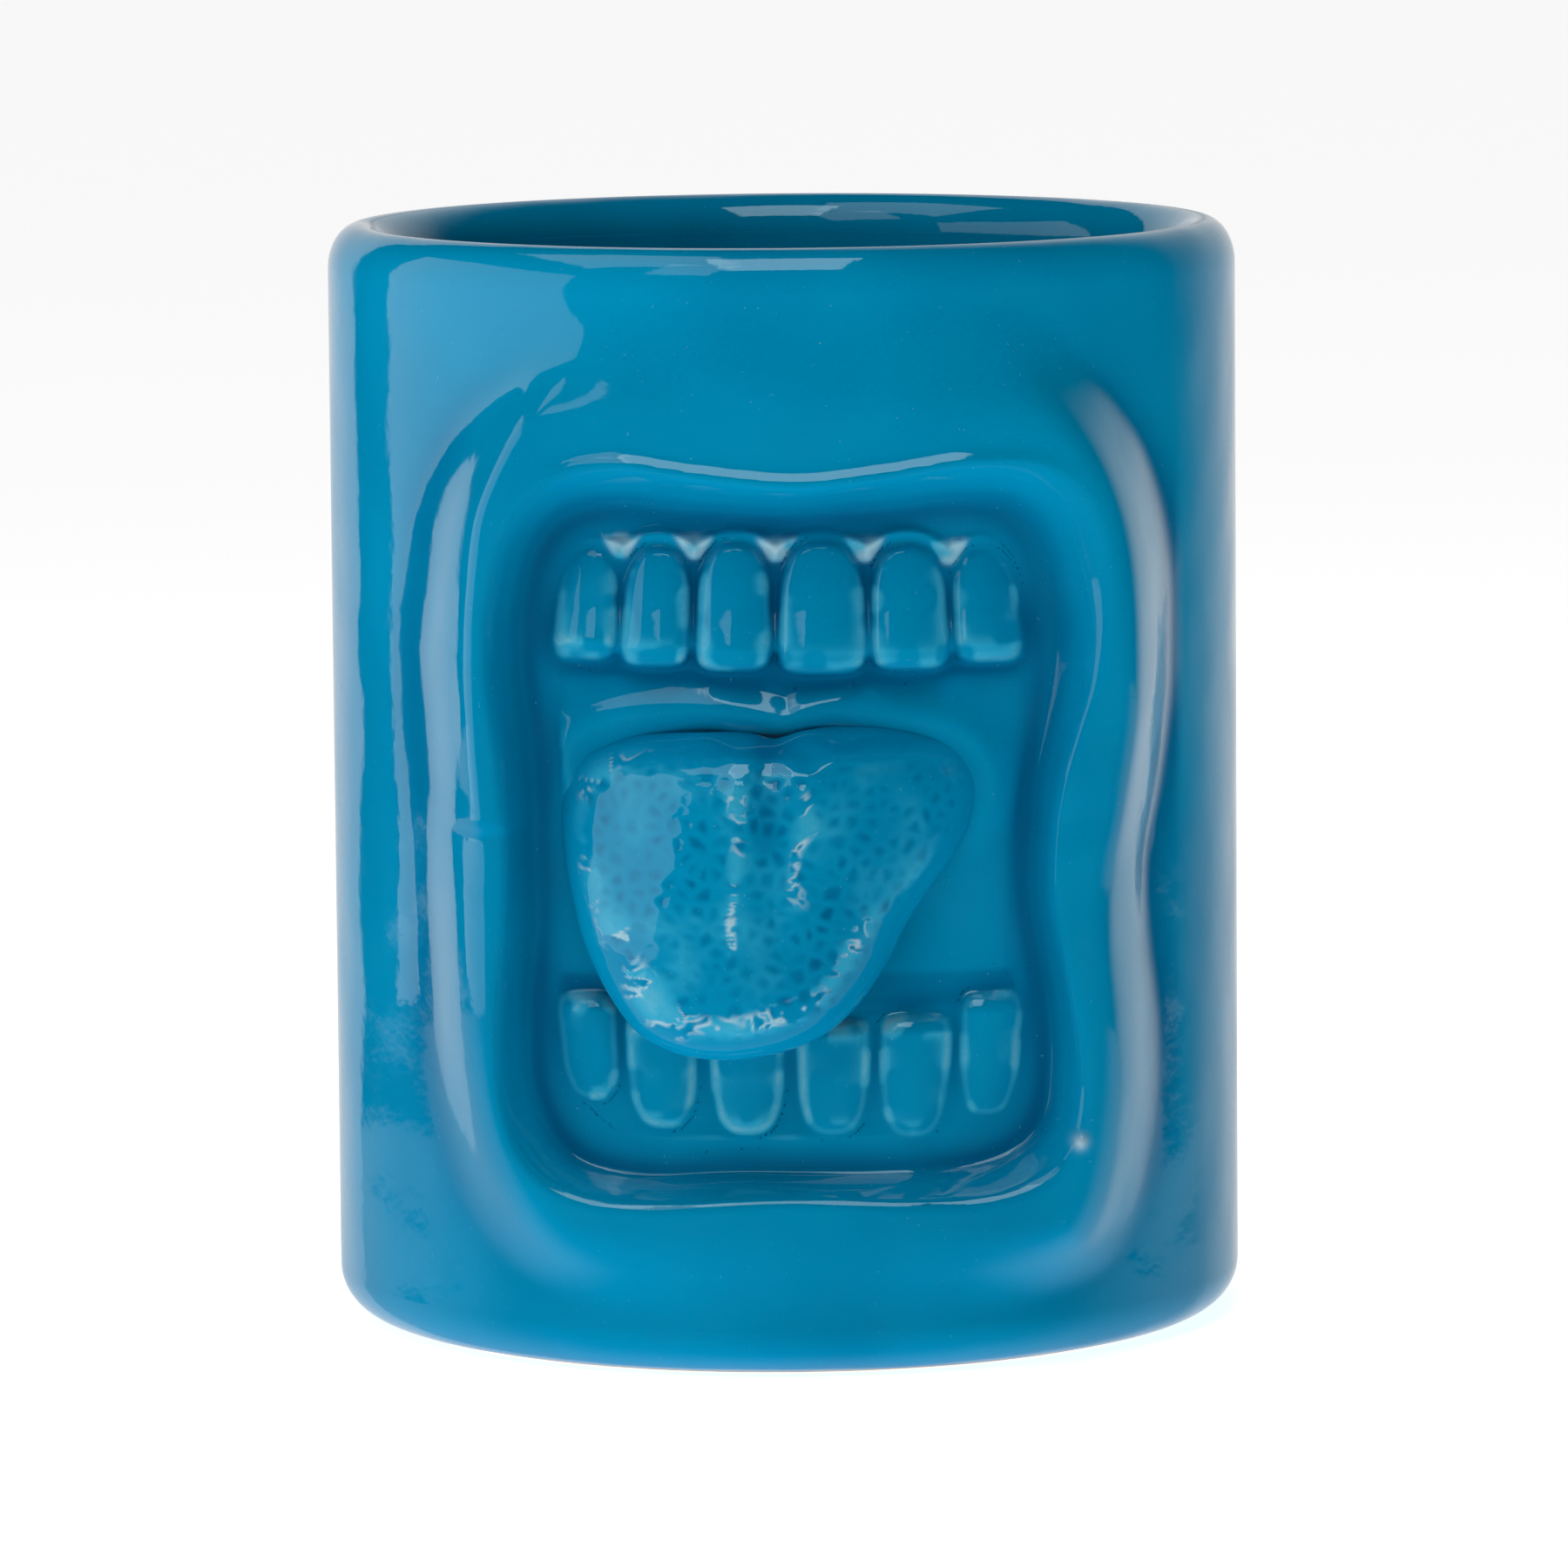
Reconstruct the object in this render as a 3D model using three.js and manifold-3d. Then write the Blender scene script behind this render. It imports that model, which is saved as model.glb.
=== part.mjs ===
// A novelty drinking mug: a straight glazed cylinder with an open mouth modelled in relief on its front.
// Units are millimetres. +Z is up, the mouth faces -Y and +X is on the right of someone facing the mouth.
// The origin is on the axis of the cylinder, on the flat underside.
import * as THREE from "three";
import { mergeVertices } from "three/addons/utils/BufferGeometryUtils.js";
import Module from "manifold-3d";

// The cup.
const BODY_RADIUS = 43;
const BODY_HEIGHT = 104;
const WALL_THICKNESS = 4.4;
const INNER_RADIUS = BODY_RADIUS - WALL_THICKNESS;
const ROUND_SEGMENTS = 64;
const RIM_STEPS = 5;
const CORNER_STEPS = 4;
const FOOT_STEPS = 2;
const BASE_EDGE_RADIUS = 4.6;
const FOOT_THICKNESS = 1.0;
const FLOOR_TOP = 5.5;
const FLOOR_RADIUS = 33.7;
const FLOOR_FILLET = 5;
// The fillet stops just short of the floor, where it would run out flat.
const FILLET_END_DEGREES = -85;
const RIM_OUTER_WIDTH = 2.9;
const RIM_OUTER_HEIGHT = 4.2;
const RIM_INNER_WIDTH = WALL_THICKNESS - RIM_OUTER_WIDTH;
const RIM_INNER_HEIGHT = 2.0;
const JOINT_GAP = 0.3;
const MERGE_DISTANCE = 1e-4;

// The mouth, measured outwards from the surface of the cylinder.
const MOUTH_CENTRE = new THREE.Vector2(0, 50);
const LIP_HEIGHT_SIDE = 7.2;
const LIP_HEIGHT_TOP = 1.2;
const CAVITY_DEPTH = 7.4;
const CORNER_HEIGHT = 50.5;
// How quickly the lips gain height from the middle of the mouth to its sides.
const LIP_SIDE_RATE = 1.5;
const GUM_DEPTH = 4.3;
const GUM_EDGE_WIDTH = 2.4;
const GUM_HALF_WIDTH = 23;
const GUM_MARGIN = 1;
const GUM_OUTLINE_POINTS = 48;
const TOOTH_FRONT_DEPTH = 2.2;
const TOOTH_BACK_DEPTH = 6.4;
// Powers under 1 flatten a sphere towards a rounded block.
const TOOTH_SIDE_POWER = 0.7;
const TOOTH_FRONT_POWER = 0.8;
const CAVITY_LIMITS = [-25, 25, 17, 83];
const CAVITY_STEP = 4;
const GUM_STEP = 2.3;
const TOOTH_DETAIL = [14, 7];
const TONGUE_DETAIL = [36, 12];
const FRONT_LIMIT = 60;
const BACK_LIMIT = 8;

// Outlines as seen from the front, each a closed loop of [x, z] that starts at the top.
const LIP_FOOT = [
  [0, 98.6], [13, 98.6], [20, 98], [25.2, 95.6], [28.8, 92.6], [31.7, 88.2], [34.2, 82.8], [35.8, 76],
  [36.3, 69], [36.1, 61], [35, 53], [33.8, 46], [34, 39], [34.8, 32], [35, 24], [33.6, 17], [29.6, 12.4],
  [20, 10.9], [0, 10.9], [-16, 10.9], [-25, 12.2], [-29.6, 16], [-32, 22], [-33, 30], [-33.3, 38],
  [-33.6, 46], [-34.2, 54], [-34.9, 62], [-35, 70], [-34.2, 78], [-32.7, 84.4], [-30.7, 89.4],
  [-27.6, 93.6], [-23.6, 96.4], [-19, 98.2], [-11, 98.6],
];
const LIP_CREST = [
  [1, 82], [9, 83], [17.5, 84.2], [24, 83.6], [28, 80.5], [30, 76], [30.5, 71], [29.6, 65], [27.8, 60],
  [26, 55], [25, 49], [25.2, 43], [26.4, 37], [27.7, 31], [28, 25], [26.8, 20], [23, 17.2], [15, 15.9],
  [0, 16.5], [-14, 15.8], [-21, 16.8], [-26, 20.5], [-27.8, 26], [-27.6, 34], [-27, 42], [-26.8, 50],
  [-27.2, 58], [-28.2, 67], [-27.6, 73], [-25.6, 78.5], [-21.5, 82.8], [-15.5, 84.2], [-8, 83],
];
const CAVITY_EDGE = [
  [0, 79.3], [9, 79.8], [16, 80.2], [20.4, 78.6], [22.4, 74], [23, 67], [22.4, 59], [21.8, 50],
  [21.8, 42], [22.6, 34], [22.8, 27], [21.4, 22.4], [17, 20.2], [8, 19.6], [-4, 19.8], [-14, 19.4],
  [-19, 21.4], [-21.8, 26], [-22, 34], [-21.6, 42], [-21.8, 50], [-22, 58], [-22.6, 66], [-22.2, 73],
  [-20.6, 78], [-16, 80], [-8, 79.6],
];
const UPPER_GUM = [
  [0, 77.6], [7, 78], [14, 78.4], [19, 77.4], [21.4, 73.5], [21.8, 69], [20.6, 65.6], [15, 64.4],
  [0, 63.9], [-10, 64.6], [-18, 65.2], [-20.9, 67], [-21.4, 71], [-20.4, 75.6], [-17, 78], [-8, 78],
];
const LOWER_GUM = [
  [0, 33.4], [7, 34], [14, 34.6], [19.4, 37], [21.2, 34], [21.7, 29.5], [20.6, 25], [16.6, 21.9],
  [8, 20.9], [-4, 21.2], [-13, 21.2], [-17.6, 24], [-20.2, 28.6], [-20.9, 33], [-19.8, 36.6], [-14, 34.6],
  [-7, 33.8],
];
const TONGUE = [
  [-1, 59.4], [6, 60.2], [12, 59.6], [16.4, 58.5], [17.9, 55.4], [16.6, 50], [13.2, 45], [9.6, 39.2],
  [5.4, 33.8], [0.4, 31.1], [-5, 30.2], [-10, 30.8], [-14, 33], [-17.2, 37.4], [-19.4, 43],
  [-20.6, 50], [-20.4, 55], [-18.2, 58], [-12, 59.6], [-6, 59.8],
];

// Teeth: left edge, right edge, bottom and top of each crown.
const UPPER_TEETH = [
  [-20.6, -15.7, 66.2, 76.2],
  [-14.9, -9.2, 65.6, 76.2],
  [-8.2, -1.3, 65.2, 76.6],
  [-0.1, 7.0, 64.9, 76.6],
  [7.8, 14.8, 65.1, 76.4],
  [15.6, 21.0, 65.6, 76.0],
];
const LOWER_TEETH = [
  [-20.0, -15.3, 25.6, 35.0],
  [-14.5, -8.5, 22.9, 33.2],
  [-6.8, -1.0, 22.7, 32.4],
  [1.2, 6.9, 22.5, 32.4],
  [8.2, 14.0, 21.9, 32.6],
  [15.2, 20.0, 23.7, 34.6],
];

// Tongue: depths are distances in front of the axis.
const TONGUE_CENTRE = new THREE.Vector2(-2, 46);
const TONGUE_SHIFT = MOUTH_CENTRE.clone().sub(TONGUE_CENTRE);
const TONGUE_TOP = 60.2;
const TONGUE_TIP = 30.2;
const TONGUE_HALF_WIDTH = 19.4;
const TONGUE_ROOT_DEPTH = 37;
const TONGUE_TIP_DEPTH = 47.5;
const TONGUE_SIDE_DROP = 2.5;
const TONGUE_HALF_THICKNESS = 4;
const TONGUE_EDGE_POWER = 0.8;
const TONGUE_ARCH_POWER = 0.8;

const wasm = await Module();
wasm.setup();

// A three.js geometry as a solid that can be joined and cut.
function solid(geometry) {
  const plain = geometry.index ? geometry.toNonIndexed() : geometry.clone();
  plain.deleteAttribute("normal");
  plain.deleteAttribute("uv");
  const merged = mergeVertices(plain, MERGE_DISTANCE);
  return new wasm.Manifold(
    new wasm.Mesh({
      numProp: 3,
      vertProperties: merged.attributes.position.array,
      triVerts: new Uint32Array(merged.index.array),
    }),
  );
}

// A smooth closed outline through the given points, as THREE.Vector2.
function smoothOutline(points, count) {
  const knots = points.map(([x, z]) => new THREE.Vector3(x, z, 0));
  const curve = new THREE.CatmullRomCurve3(knots, true, "centripetal");
  return curve.getSpacedPoints(count).slice(0, count).map((p) => new THREE.Vector2(p.x, p.y));
}

// The outline moved outwards by a distance (inwards when it is negative).
function grow(outline, distance) {
  const count = outline.length;
  const turn = Math.sign(THREE.ShapeUtils.area(outline));
  return outline.map((point, i) => {
    const before = outline[(i + count - 1) % count];
    const after = outline[(i + 1) % count];
    const along = after.clone().sub(before).normalize();
    return new THREE.Vector2(point.x + along.y * turn * distance, point.y - along.x * turn * distance);
  });
}

// Everything in front of the axis that lies inside an outline, between two distances from the axis.
function frontPrism(outline) {
  const from = BACK_LIMIT;
  const to = FRONT_LIMIT;
  const shape = new THREE.Shape(outline);
  const geometry = new THREE.ExtrudeGeometry(shape, { depth: to - from, bevelEnabled: false });
  geometry.translate(0, 0, from);
  geometry.rotateX(Math.PI / 2);
  return solid(geometry);
}

// A block whose front follows front(x, z) and whose back is flat or follows back(x, z).
function reliefBlock([left, right, bottom, top], step, front, back) {
  const width = right - left;
  const height = top - bottom;
  const columns = Math.round(width / step);
  const rows = Math.round(height / step);
  const thickness = 1;
  const geometry = new THREE.BoxGeometry(width, height, thickness, columns, rows, 1);
  geometry.translate((left + right) / 2, (bottom + top) / 2, 0);
  const position = geometry.attributes.position;
  for (let i = 0; i < position.count; i++) {
    const x = position.getX(i);
    const z = position.getY(i);
    position.setZ(i, position.getZ(i) > 0 ? front(x, z) : back(x, z));
  }
  geometry.rotateX(Math.PI / 2);
  return solid(geometry);
}

// A block that takes in the whole mouth above a height (side 1) or below it (side -1).
function halfSpace(height, side) {
  const size = 2 * FRONT_LIMIT;
  const geometry = new THREE.BoxGeometry(size, size, size);
  geometry.translate(0, -FRONT_LIMIT, height + (side * size) / 2);
  return solid(geometry);
}

// Distance from the mouth centre to an outline in each direction, read off with radiusAt(angle).
function radiusReader(outline) {
  const samples = outline
    .map((p) => p.clone().sub(MOUTH_CENTRE))
    .map((p) => ({ angle: Math.atan2(p.y, p.x), radius: p.length() }))
    .sort((a, b) => a.angle - b.angle);
  const count = samples.length;
  return (angle) => {
    let i = samples.findIndex((s) => s.angle > angle);
    if (i < 0) i = 0;
    const after = samples[i];
    const before = samples[(i + count - 1) % count];
    const fullTurn = 2 * Math.PI;
    const span = (after.angle - before.angle + fullTurn) % fullTurn;
    const offset = (angle - before.angle + fullTurn) % fullTurn;
    return THREE.MathUtils.lerp(before.radius, after.radius, span > 0 ? offset / span : 0);
  };
}

const easeInOut = (t) => 0.5 - 0.5 * Math.cos(Math.PI * THREE.MathUtils.clamp(t, 0, 1));
const cylinder = (radius, x) => Math.sqrt(Math.max(radius * radius - x * x, 0));

// Outlines are read in this many equal directions round the mouth.
const RAYS = 72;
const footRadius = radiusReader(smoothOutline(LIP_FOOT, RAYS * 2));
const crestRadius = radiusReader(smoothOutline(LIP_CREST, RAYS * 2));
const cavityRadius = radiusReader(smoothOutline(CAVITY_EDGE, RAYS * 2));
const rayAngle = (i) => ((i % RAYS) / RAYS) * 2 * Math.PI - Math.PI;
const pointAt = (angle, radius) =>
  new THREE.Vector2(MOUTH_CENTRE.x + radius * Math.cos(angle), MOUTH_CENTRE.y + radius * Math.sin(angle));

function rayOutline(radiusAt, margin) {
  return Array.from({ length: RAYS }, (_, i) => pointAt(rayAngle(i), radiusAt(rayAngle(i)) + margin));
}

// The section of the lips, as [across, front or back]. Across runs from 0 at the foot on the cylinder
// over 1 at the crest to 2 at the edge of the cavity.
const LIP_SECTION = [
  [0, "front"], [0.3, "front"], [0.6, "front"], [1, "front"], [1.25, "front"], [1.5, "front"],
  [1.75, "front"], [2, "front"], [2, "back"], [1.4, "back"], [0.8, "back"], [0, "back"],
];

// Height of the front of the lips over the cylinder, and of the softer bulge inside the cup.
function lipFront(angle, across) {
  const sideways = Math.abs(Math.cos(angle));
  const crest = THREE.MathUtils.lerp(LIP_HEIGHT_TOP, LIP_HEIGHT_SIDE, easeInOut(sideways * LIP_SIDE_RATE));
  if (across <= 1) return crest * Math.sin((across * Math.PI) / 2);
  return THREE.MathUtils.lerp(crest, -CAVITY_DEPTH, easeInOut(across - 1));
}
const lipBack = (across) => -CAVITY_DEPTH * easeInOut(across / 2);

// A ring with that section, swept round the mouth. It starts as a plain ring, and each point is then moved.
function lipRing() {
  const [ringRadius, tubeRadius] = [10, 1];
  const geometry = new THREE.TorusGeometry(ringRadius, tubeRadius, LIP_SECTION.length, RAYS);
  const position = geometry.attributes.position;
  for (let j = 0; j <= LIP_SECTION.length; j++) {
    const [across, side] = LIP_SECTION[j % LIP_SECTION.length];
    for (let i = 0; i <= RAYS; i++) {
      const angle = rayAngle(i);
      const outer = footRadius(angle) - JOINT_GAP;
      const inner = cavityRadius(angle);
      const ridge = crestRadius(angle);
      const radius =
        across <= 1
          ? THREE.MathUtils.lerp(outer, ridge, across)
          : THREE.MathUtils.lerp(ridge, inner, across - 1);
      const point = pointAt(angle, radius);
      const depth =
        side === "front"
          ? cylinder(BODY_RADIUS, point.x) + lipFront(angle, across)
          : cylinder(INNER_RADIUS, point.x) + lipBack(across);
      position.setXYZ(j * (RAYS + 1) + i, point.x, point.y, depth);
    }
  }
  geometry.rotateX(Math.PI / 2);
  return solid(geometry);
}

const group = new THREE.Group();
const GLAZE = { color: 0x0781ae, roughness: 0.08, metalness: 0 };
const BARE_CLAY = { color: 0xcdbb9f, roughness: 0.85, metalness: 0 };

function addNode(name, body, look) {
  const mesh = body.getMesh();
  const geometry = new THREE.BufferGeometry();
  geometry.setAttribute("position", new THREE.BufferAttribute(new Float32Array(mesh.vertProperties), 3));
  geometry.setIndex(new THREE.BufferAttribute(new Uint32Array(mesh.triVerts), 1));
  geometry.computeVertexNormals();
  const node = new THREE.Mesh(geometry, new THREE.MeshStandardMaterial(look));
  node.name = name;
  group.add(node);
}

// Points on part of an ellipse, from one angle to another in degrees, as [radius, height].
function arc([centreRadius, centreHeight], [width, height], fromDegrees, toDegrees, steps) {
  return Array.from({ length: steps + 1 }, (_, i) => {
    const angle = THREE.MathUtils.degToRad(THREE.MathUtils.lerp(fromDegrees, toDegrees, i / steps));
    return [centreRadius + width * Math.cos(angle), centreHeight + height * Math.sin(angle)];
  });
}

function turned(profile) {
  const points = [...profile, profile[0]].map(([radius, height]) => new THREE.Vector2(radius, height));
  const geometry = new THREE.LatheGeometry(points, ROUND_SEGMENTS);
  geometry.rotateX(Math.PI / 2);
  return solid(geometry);
}

// The cup wall, with its rounded rim, its rounded base edge and a window for the mouth.
const wallStart = FOOT_THICKNESS + JOINT_GAP;
const crownRadius = BODY_RADIUS - RIM_OUTER_WIDTH;
const outerCentre = [crownRadius, BODY_HEIGHT - RIM_OUTER_HEIGHT];
const innerCentre = [crownRadius, BODY_HEIGHT - RIM_INNER_HEIGHT];
const filletCentre = [INNER_RADIUS - FLOOR_FILLET, FLOOR_TOP + FLOOR_FILLET];

// The rounded base edge is shared by the wall and the foot.
const baseArc = (fromDegrees, toDegrees, steps) =>
  arc(
    [BODY_RADIUS - BASE_EDGE_RADIUS, BASE_EDGE_RADIUS],
    [BASE_EDGE_RADIUS, BASE_EDGE_RADIUS],
    fromDegrees,
    toDegrees,
    steps,
  );
const degreesAtHeight = (height) =>
  THREE.MathUtils.radToDeg(Math.asin((height - BASE_EDGE_RADIUS) / BASE_EDGE_RADIUS));
const wallProfile = [
  [FLOOR_RADIUS + JOINT_GAP, wallStart],
  ...baseArc(degreesAtHeight(wallStart), 0, CORNER_STEPS),
  ...arc(outerCentre, [RIM_OUTER_WIDTH, RIM_OUTER_HEIGHT], 0, 90, RIM_STEPS),
  ...arc(innerCentre, [RIM_INNER_WIDTH, RIM_INNER_HEIGHT], 90, 180, CORNER_STEPS).slice(1),
  ...arc(filletCentre, [FLOOR_FILLET, FLOOR_FILLET], 0, FILLET_END_DEGREES, CORNER_STEPS),
  [FLOOR_RADIUS + JOINT_GAP, FLOOR_TOP],
];
const wall = turned(wallProfile).subtract(frontPrism(rayOutline(footRadius, 0)));
addNode("mug_wall", wall, GLAZE);

const floorProfile = [
  [0, wallStart],
  [FLOOR_RADIUS, wallStart],
  [FLOOR_RADIUS, FLOOR_TOP],
  [0, FLOOR_TOP],
];
addNode("mug_floor", turned(floorProfile), GLAZE);

const footProfile = [
  [0, 0],
  ...baseArc(-90, degreesAtHeight(FOOT_THICKNESS), FOOT_STEPS),
  [0, FOOT_THICKNESS],
];
addNode("bare_foot", turned(footProfile), BARE_CLAY);

// The two lips meet at the corners of the mouth.
const halfGap = JOINT_GAP / 2;
const aboveCorner = halfSpace(CORNER_HEIGHT + halfGap, 1);
const belowCorner = halfSpace(CORNER_HEIGHT - halfGap, -1);
addNode("upper_lip", lipRing().intersect(aboveCorner), GLAZE);
addNode("lower_lip", lipRing().intersect(belowCorner), GLAZE);

// The back of the mouth, which follows the cylinder at the depth of the cavity.
const cavityFloor = (x) => cylinder(BODY_RADIUS, x) - CAVITY_DEPTH;
const cavityInside = (x) => cylinder(INNER_RADIUS, x) - CAVITY_DEPTH;
const cavity = reliefBlock(CAVITY_LIMITS, CAVITY_STEP, cavityFloor, cavityInside);
addNode("mouth_cavity", cavity.intersect(frontPrism(rayOutline(cavityRadius, -JOINT_GAP))), GLAZE);

// A cushion shape: a rounded block between its limits, flattened where the power is small.
function cushion([left, right, bottom, top], backDepth, frontDepth, margin) {
  const middleX = (left + right) / 2;
  const middleZ = (bottom + top) / 2;
  const halfWidth = (right - left) / 2 + margin;
  const halfHeight = (top - bottom) / 2 + margin;
  const surface = cylinder(BODY_RADIUS, middleX);
  const middleDepth = surface - (backDepth + frontDepth) / 2;
  const halfDepth = (backDepth - frontDepth) / 2 + margin;
  const lean = -middleX / surface;
  const flatten = (value, power) => Math.sign(value) * Math.abs(value) ** power;
  const geometry = new THREE.SphereGeometry(1, ...TOOTH_DETAIL);
  const position = geometry.attributes.position;
  for (let i = 0; i < position.count; i++) {
    const u = flatten(position.getX(i), TOOTH_SIDE_POWER);
    const w = flatten(position.getY(i), TOOTH_FRONT_POWER);
    const v = flatten(-position.getZ(i), TOOTH_SIDE_POWER);
    const x = middleX + halfWidth * u;
    position.setXYZ(i, x, middleZ + halfHeight * v, middleDepth + halfDepth * w + lean * (x - middleX));
  }
  geometry.rotateX(Math.PI / 2);
  return geometry;
}

// Gums: low blocks in the cavity, rounded at their edges, with a socket for each tooth.
function gum(outlinePoints, teeth) {
  const outline = smoothOutline(outlinePoints, GUM_OUTLINE_POINTS);
  const inEdge = (x, z) => {
    const nearest = outline.reduce((best, p) => Math.min(best, Math.hypot(p.x - x, p.y - z)), Infinity);
    return easeInOut(0.5 + nearest / GUM_EDGE_WIDTH / 2);
  };
  const front = (x, z) => {
    return cavityFloor(x) + (CAVITY_DEPTH - GUM_DEPTH) * inEdge(x, z);
  };
  const back = (x) => cavityFloor(x) + JOINT_GAP;
  const zs = outline.map((p) => p.y);
  const limits = [-GUM_HALF_WIDTH, GUM_HALF_WIDTH, Math.min(...zs) - GUM_MARGIN, Math.max(...zs) + GUM_MARGIN];
  let body = reliefBlock(limits, GUM_STEP, front, back).intersect(frontPrism(outline));
  for (const tooth of teeth) {
    body = body.subtract(solid(cushion(tooth, TOOTH_BACK_DEPTH, TOOTH_FRONT_DEPTH, JOINT_GAP)));
  }
  return body;
}

addNode("upper_gum", gum(UPPER_GUM, UPPER_TEETH), GLAZE);
addNode("lower_gum", gum(LOWER_GUM, LOWER_TEETH), GLAZE);

for (const [row, teeth] of [["upper", UPPER_TEETH], ["lower", LOWER_TEETH]]) {
  teeth.forEach((tooth, i) => {
    const crown = solid(cushion(tooth, TOOTH_BACK_DEPTH, TOOTH_FRONT_DEPTH, 0));
    addNode(`${row}_tooth_${i + 1}`, crown, GLAZE);
  });
}

// The tongue: it starts in the back of the mouth and hangs forward over the lower teeth.
function tongueBody() {
  const radiusAt = radiusReader(smoothOutline(TONGUE, RAYS).map((p) => p.add(TONGUE_SHIFT)));
  const geometry = new THREE.SphereGeometry(1, ...TONGUE_DETAIL);
  const position = geometry.attributes.position;
  for (let i = 0; i < position.count; i++) {
    const outwards = Math.hypot(position.getX(i), position.getZ(i));
    const angle = Math.atan2(-position.getZ(i), position.getX(i));
    const forwards = position.getY(i);
    const radius = radiusAt(angle) * outwards ** TONGUE_EDGE_POWER;
    const x = TONGUE_CENTRE.x + radius * Math.cos(angle);
    const z = TONGUE_CENTRE.y + radius * Math.sin(angle);
    const reach = THREE.MathUtils.clamp((TONGUE_TOP - z) / (TONGUE_TOP - TONGUE_TIP), 0, 1);
    const forward = Math.sin((reach * Math.PI) / 2) ** TONGUE_ARCH_POWER;
    const middle = THREE.MathUtils.lerp(TONGUE_ROOT_DEPTH, TONGUE_TIP_DEPTH, forward);
    const sideDrop = TONGUE_SIDE_DROP * ((x - TONGUE_CENTRE.x) / TONGUE_HALF_WIDTH) ** 2;
    position.setXYZ(i, x, z, middle - sideDrop + TONGUE_HALF_THICKNESS * forwards);
  }
  geometry.rotateX(Math.PI / 2);
  return solid(geometry);
}

// It rests on the back of the mouth at its root.
const tongueLimit = (x) => cavityFloor(x) + JOINT_GAP;
const behindTongue = reliefBlock(CAVITY_LIMITS, CAVITY_STEP, tongueLimit, () => BACK_LIMIT);
addNode("tongue", tongueBody().subtract(behindTongue), GLAZE);

export default group;
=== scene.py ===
# A glazed novelty mug with an open mouth in relief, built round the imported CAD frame.
# Lengths in this file are millimetres unless a name ends in _M; meshes are written in metres.
import math

import bpy
import numpy as np
from mathutils import Matrix, Vector

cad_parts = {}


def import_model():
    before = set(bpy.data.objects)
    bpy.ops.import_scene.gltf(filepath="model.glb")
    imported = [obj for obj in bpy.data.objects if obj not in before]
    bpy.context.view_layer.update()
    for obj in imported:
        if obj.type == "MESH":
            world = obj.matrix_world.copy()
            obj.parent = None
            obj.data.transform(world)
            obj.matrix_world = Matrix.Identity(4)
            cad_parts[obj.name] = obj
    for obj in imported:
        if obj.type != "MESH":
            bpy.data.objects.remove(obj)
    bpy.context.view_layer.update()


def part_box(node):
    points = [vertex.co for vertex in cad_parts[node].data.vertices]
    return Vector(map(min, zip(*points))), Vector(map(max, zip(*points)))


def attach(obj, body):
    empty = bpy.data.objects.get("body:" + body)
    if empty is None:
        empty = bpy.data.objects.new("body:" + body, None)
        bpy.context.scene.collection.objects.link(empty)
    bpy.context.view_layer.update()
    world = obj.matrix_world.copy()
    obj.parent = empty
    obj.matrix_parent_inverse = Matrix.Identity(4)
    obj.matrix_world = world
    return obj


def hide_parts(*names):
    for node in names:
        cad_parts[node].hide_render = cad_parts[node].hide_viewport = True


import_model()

METRE = 0.001
SEED = 7

# ---------------------------------------------------------------- sizes read from the frame
wall_low, wall_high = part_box("mug_wall")
foot_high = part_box("bare_foot")[1]
floor_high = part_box("mug_floor")[1]
R = (wall_high.x - wall_low.x) / 2 / METRE
TOP = wall_high.z / METRE
FOOT = foot_high.z / METRE
FLOOR_TOP = floor_high.z / METRE
FLOOR_R = floor_high.x / METRE
WALL = 4.4
INNER = R - WALL
# The rim rolls in by this much from this height up, with rounds of these widths and heights.
ROLL, ROLL_START = 1.5, 89.0
RIM_OUT, RIM_DROP, RIM_DROP_INSIDE = 2.9, 4.2, 3.8
# The base edge turns under the cup, a little clear of the table, and ends in a narrow lip round the bare foot.
BASE_ROUND, BASE_LIFT, BASE_TURN = 4.6, 0.12, 78
FOOT_CLEAR = 0.02
FILLET = 5.0

# ---------------------------------------------------------------- outlines seen from the front, [x, z]
LIP_FOOT = [
    (0, 120), (14, 118), (20, 108), (24, 98.4), (28.2, 93), (31.7, 88.2), (34.2, 82.8), (35.8, 76),
    (36.3, 69), (36.1, 61), (35.0, 53), (33.8, 46), (34.0, 39), (34.8, 32), (35.0, 24), (34.2, 17),
    (32.4, 11.5), (29, 7.6), (22, 5.6), (10, 5.2), (-8, 5.2), (-17, 5.6), (-23, 7.2), (-27.4, 10.6),
    (-30.8, 15.6), (-33.0, 22), (-34.2, 30), (-34.6, 38), (-34.8, 46), (-35.4, 53), (-35.8, 60.5),
    (-35.9, 67), (-35.2, 74), (-33.8, 81.6), (-30.4, 88.6), (-26.6, 94), (-23.2, 98.6), (-19.5, 108), (-14, 118),
]
LIP_CREST = [
    (1, 82.4), (9, 83.2), (17, 84.3), (23.5, 83.9), (27.6, 81), (29.7, 76.4), (30.3, 71), (29.4, 65),
    (27.7, 60.4), (26, 55.6), (24.9, 50), (24.8, 44), (25.9, 38), (27.1, 32), (27.6, 26), (26.6, 20.6),
    (23, 17.3), (15, 15.9), (0, 16.5), (-14, 15.9), (-21, 17.0), (-25.4, 20.4), (-27.2, 26), (-27.2, 34),
    (-26.4, 42), (-26.2, 49), (-26.8, 57), (-27.9, 66), (-27.5, 73), (-25.6, 78.7), (-21.5, 82.9),
    (-15.5, 84.3), (-8, 83.3),
]
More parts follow.
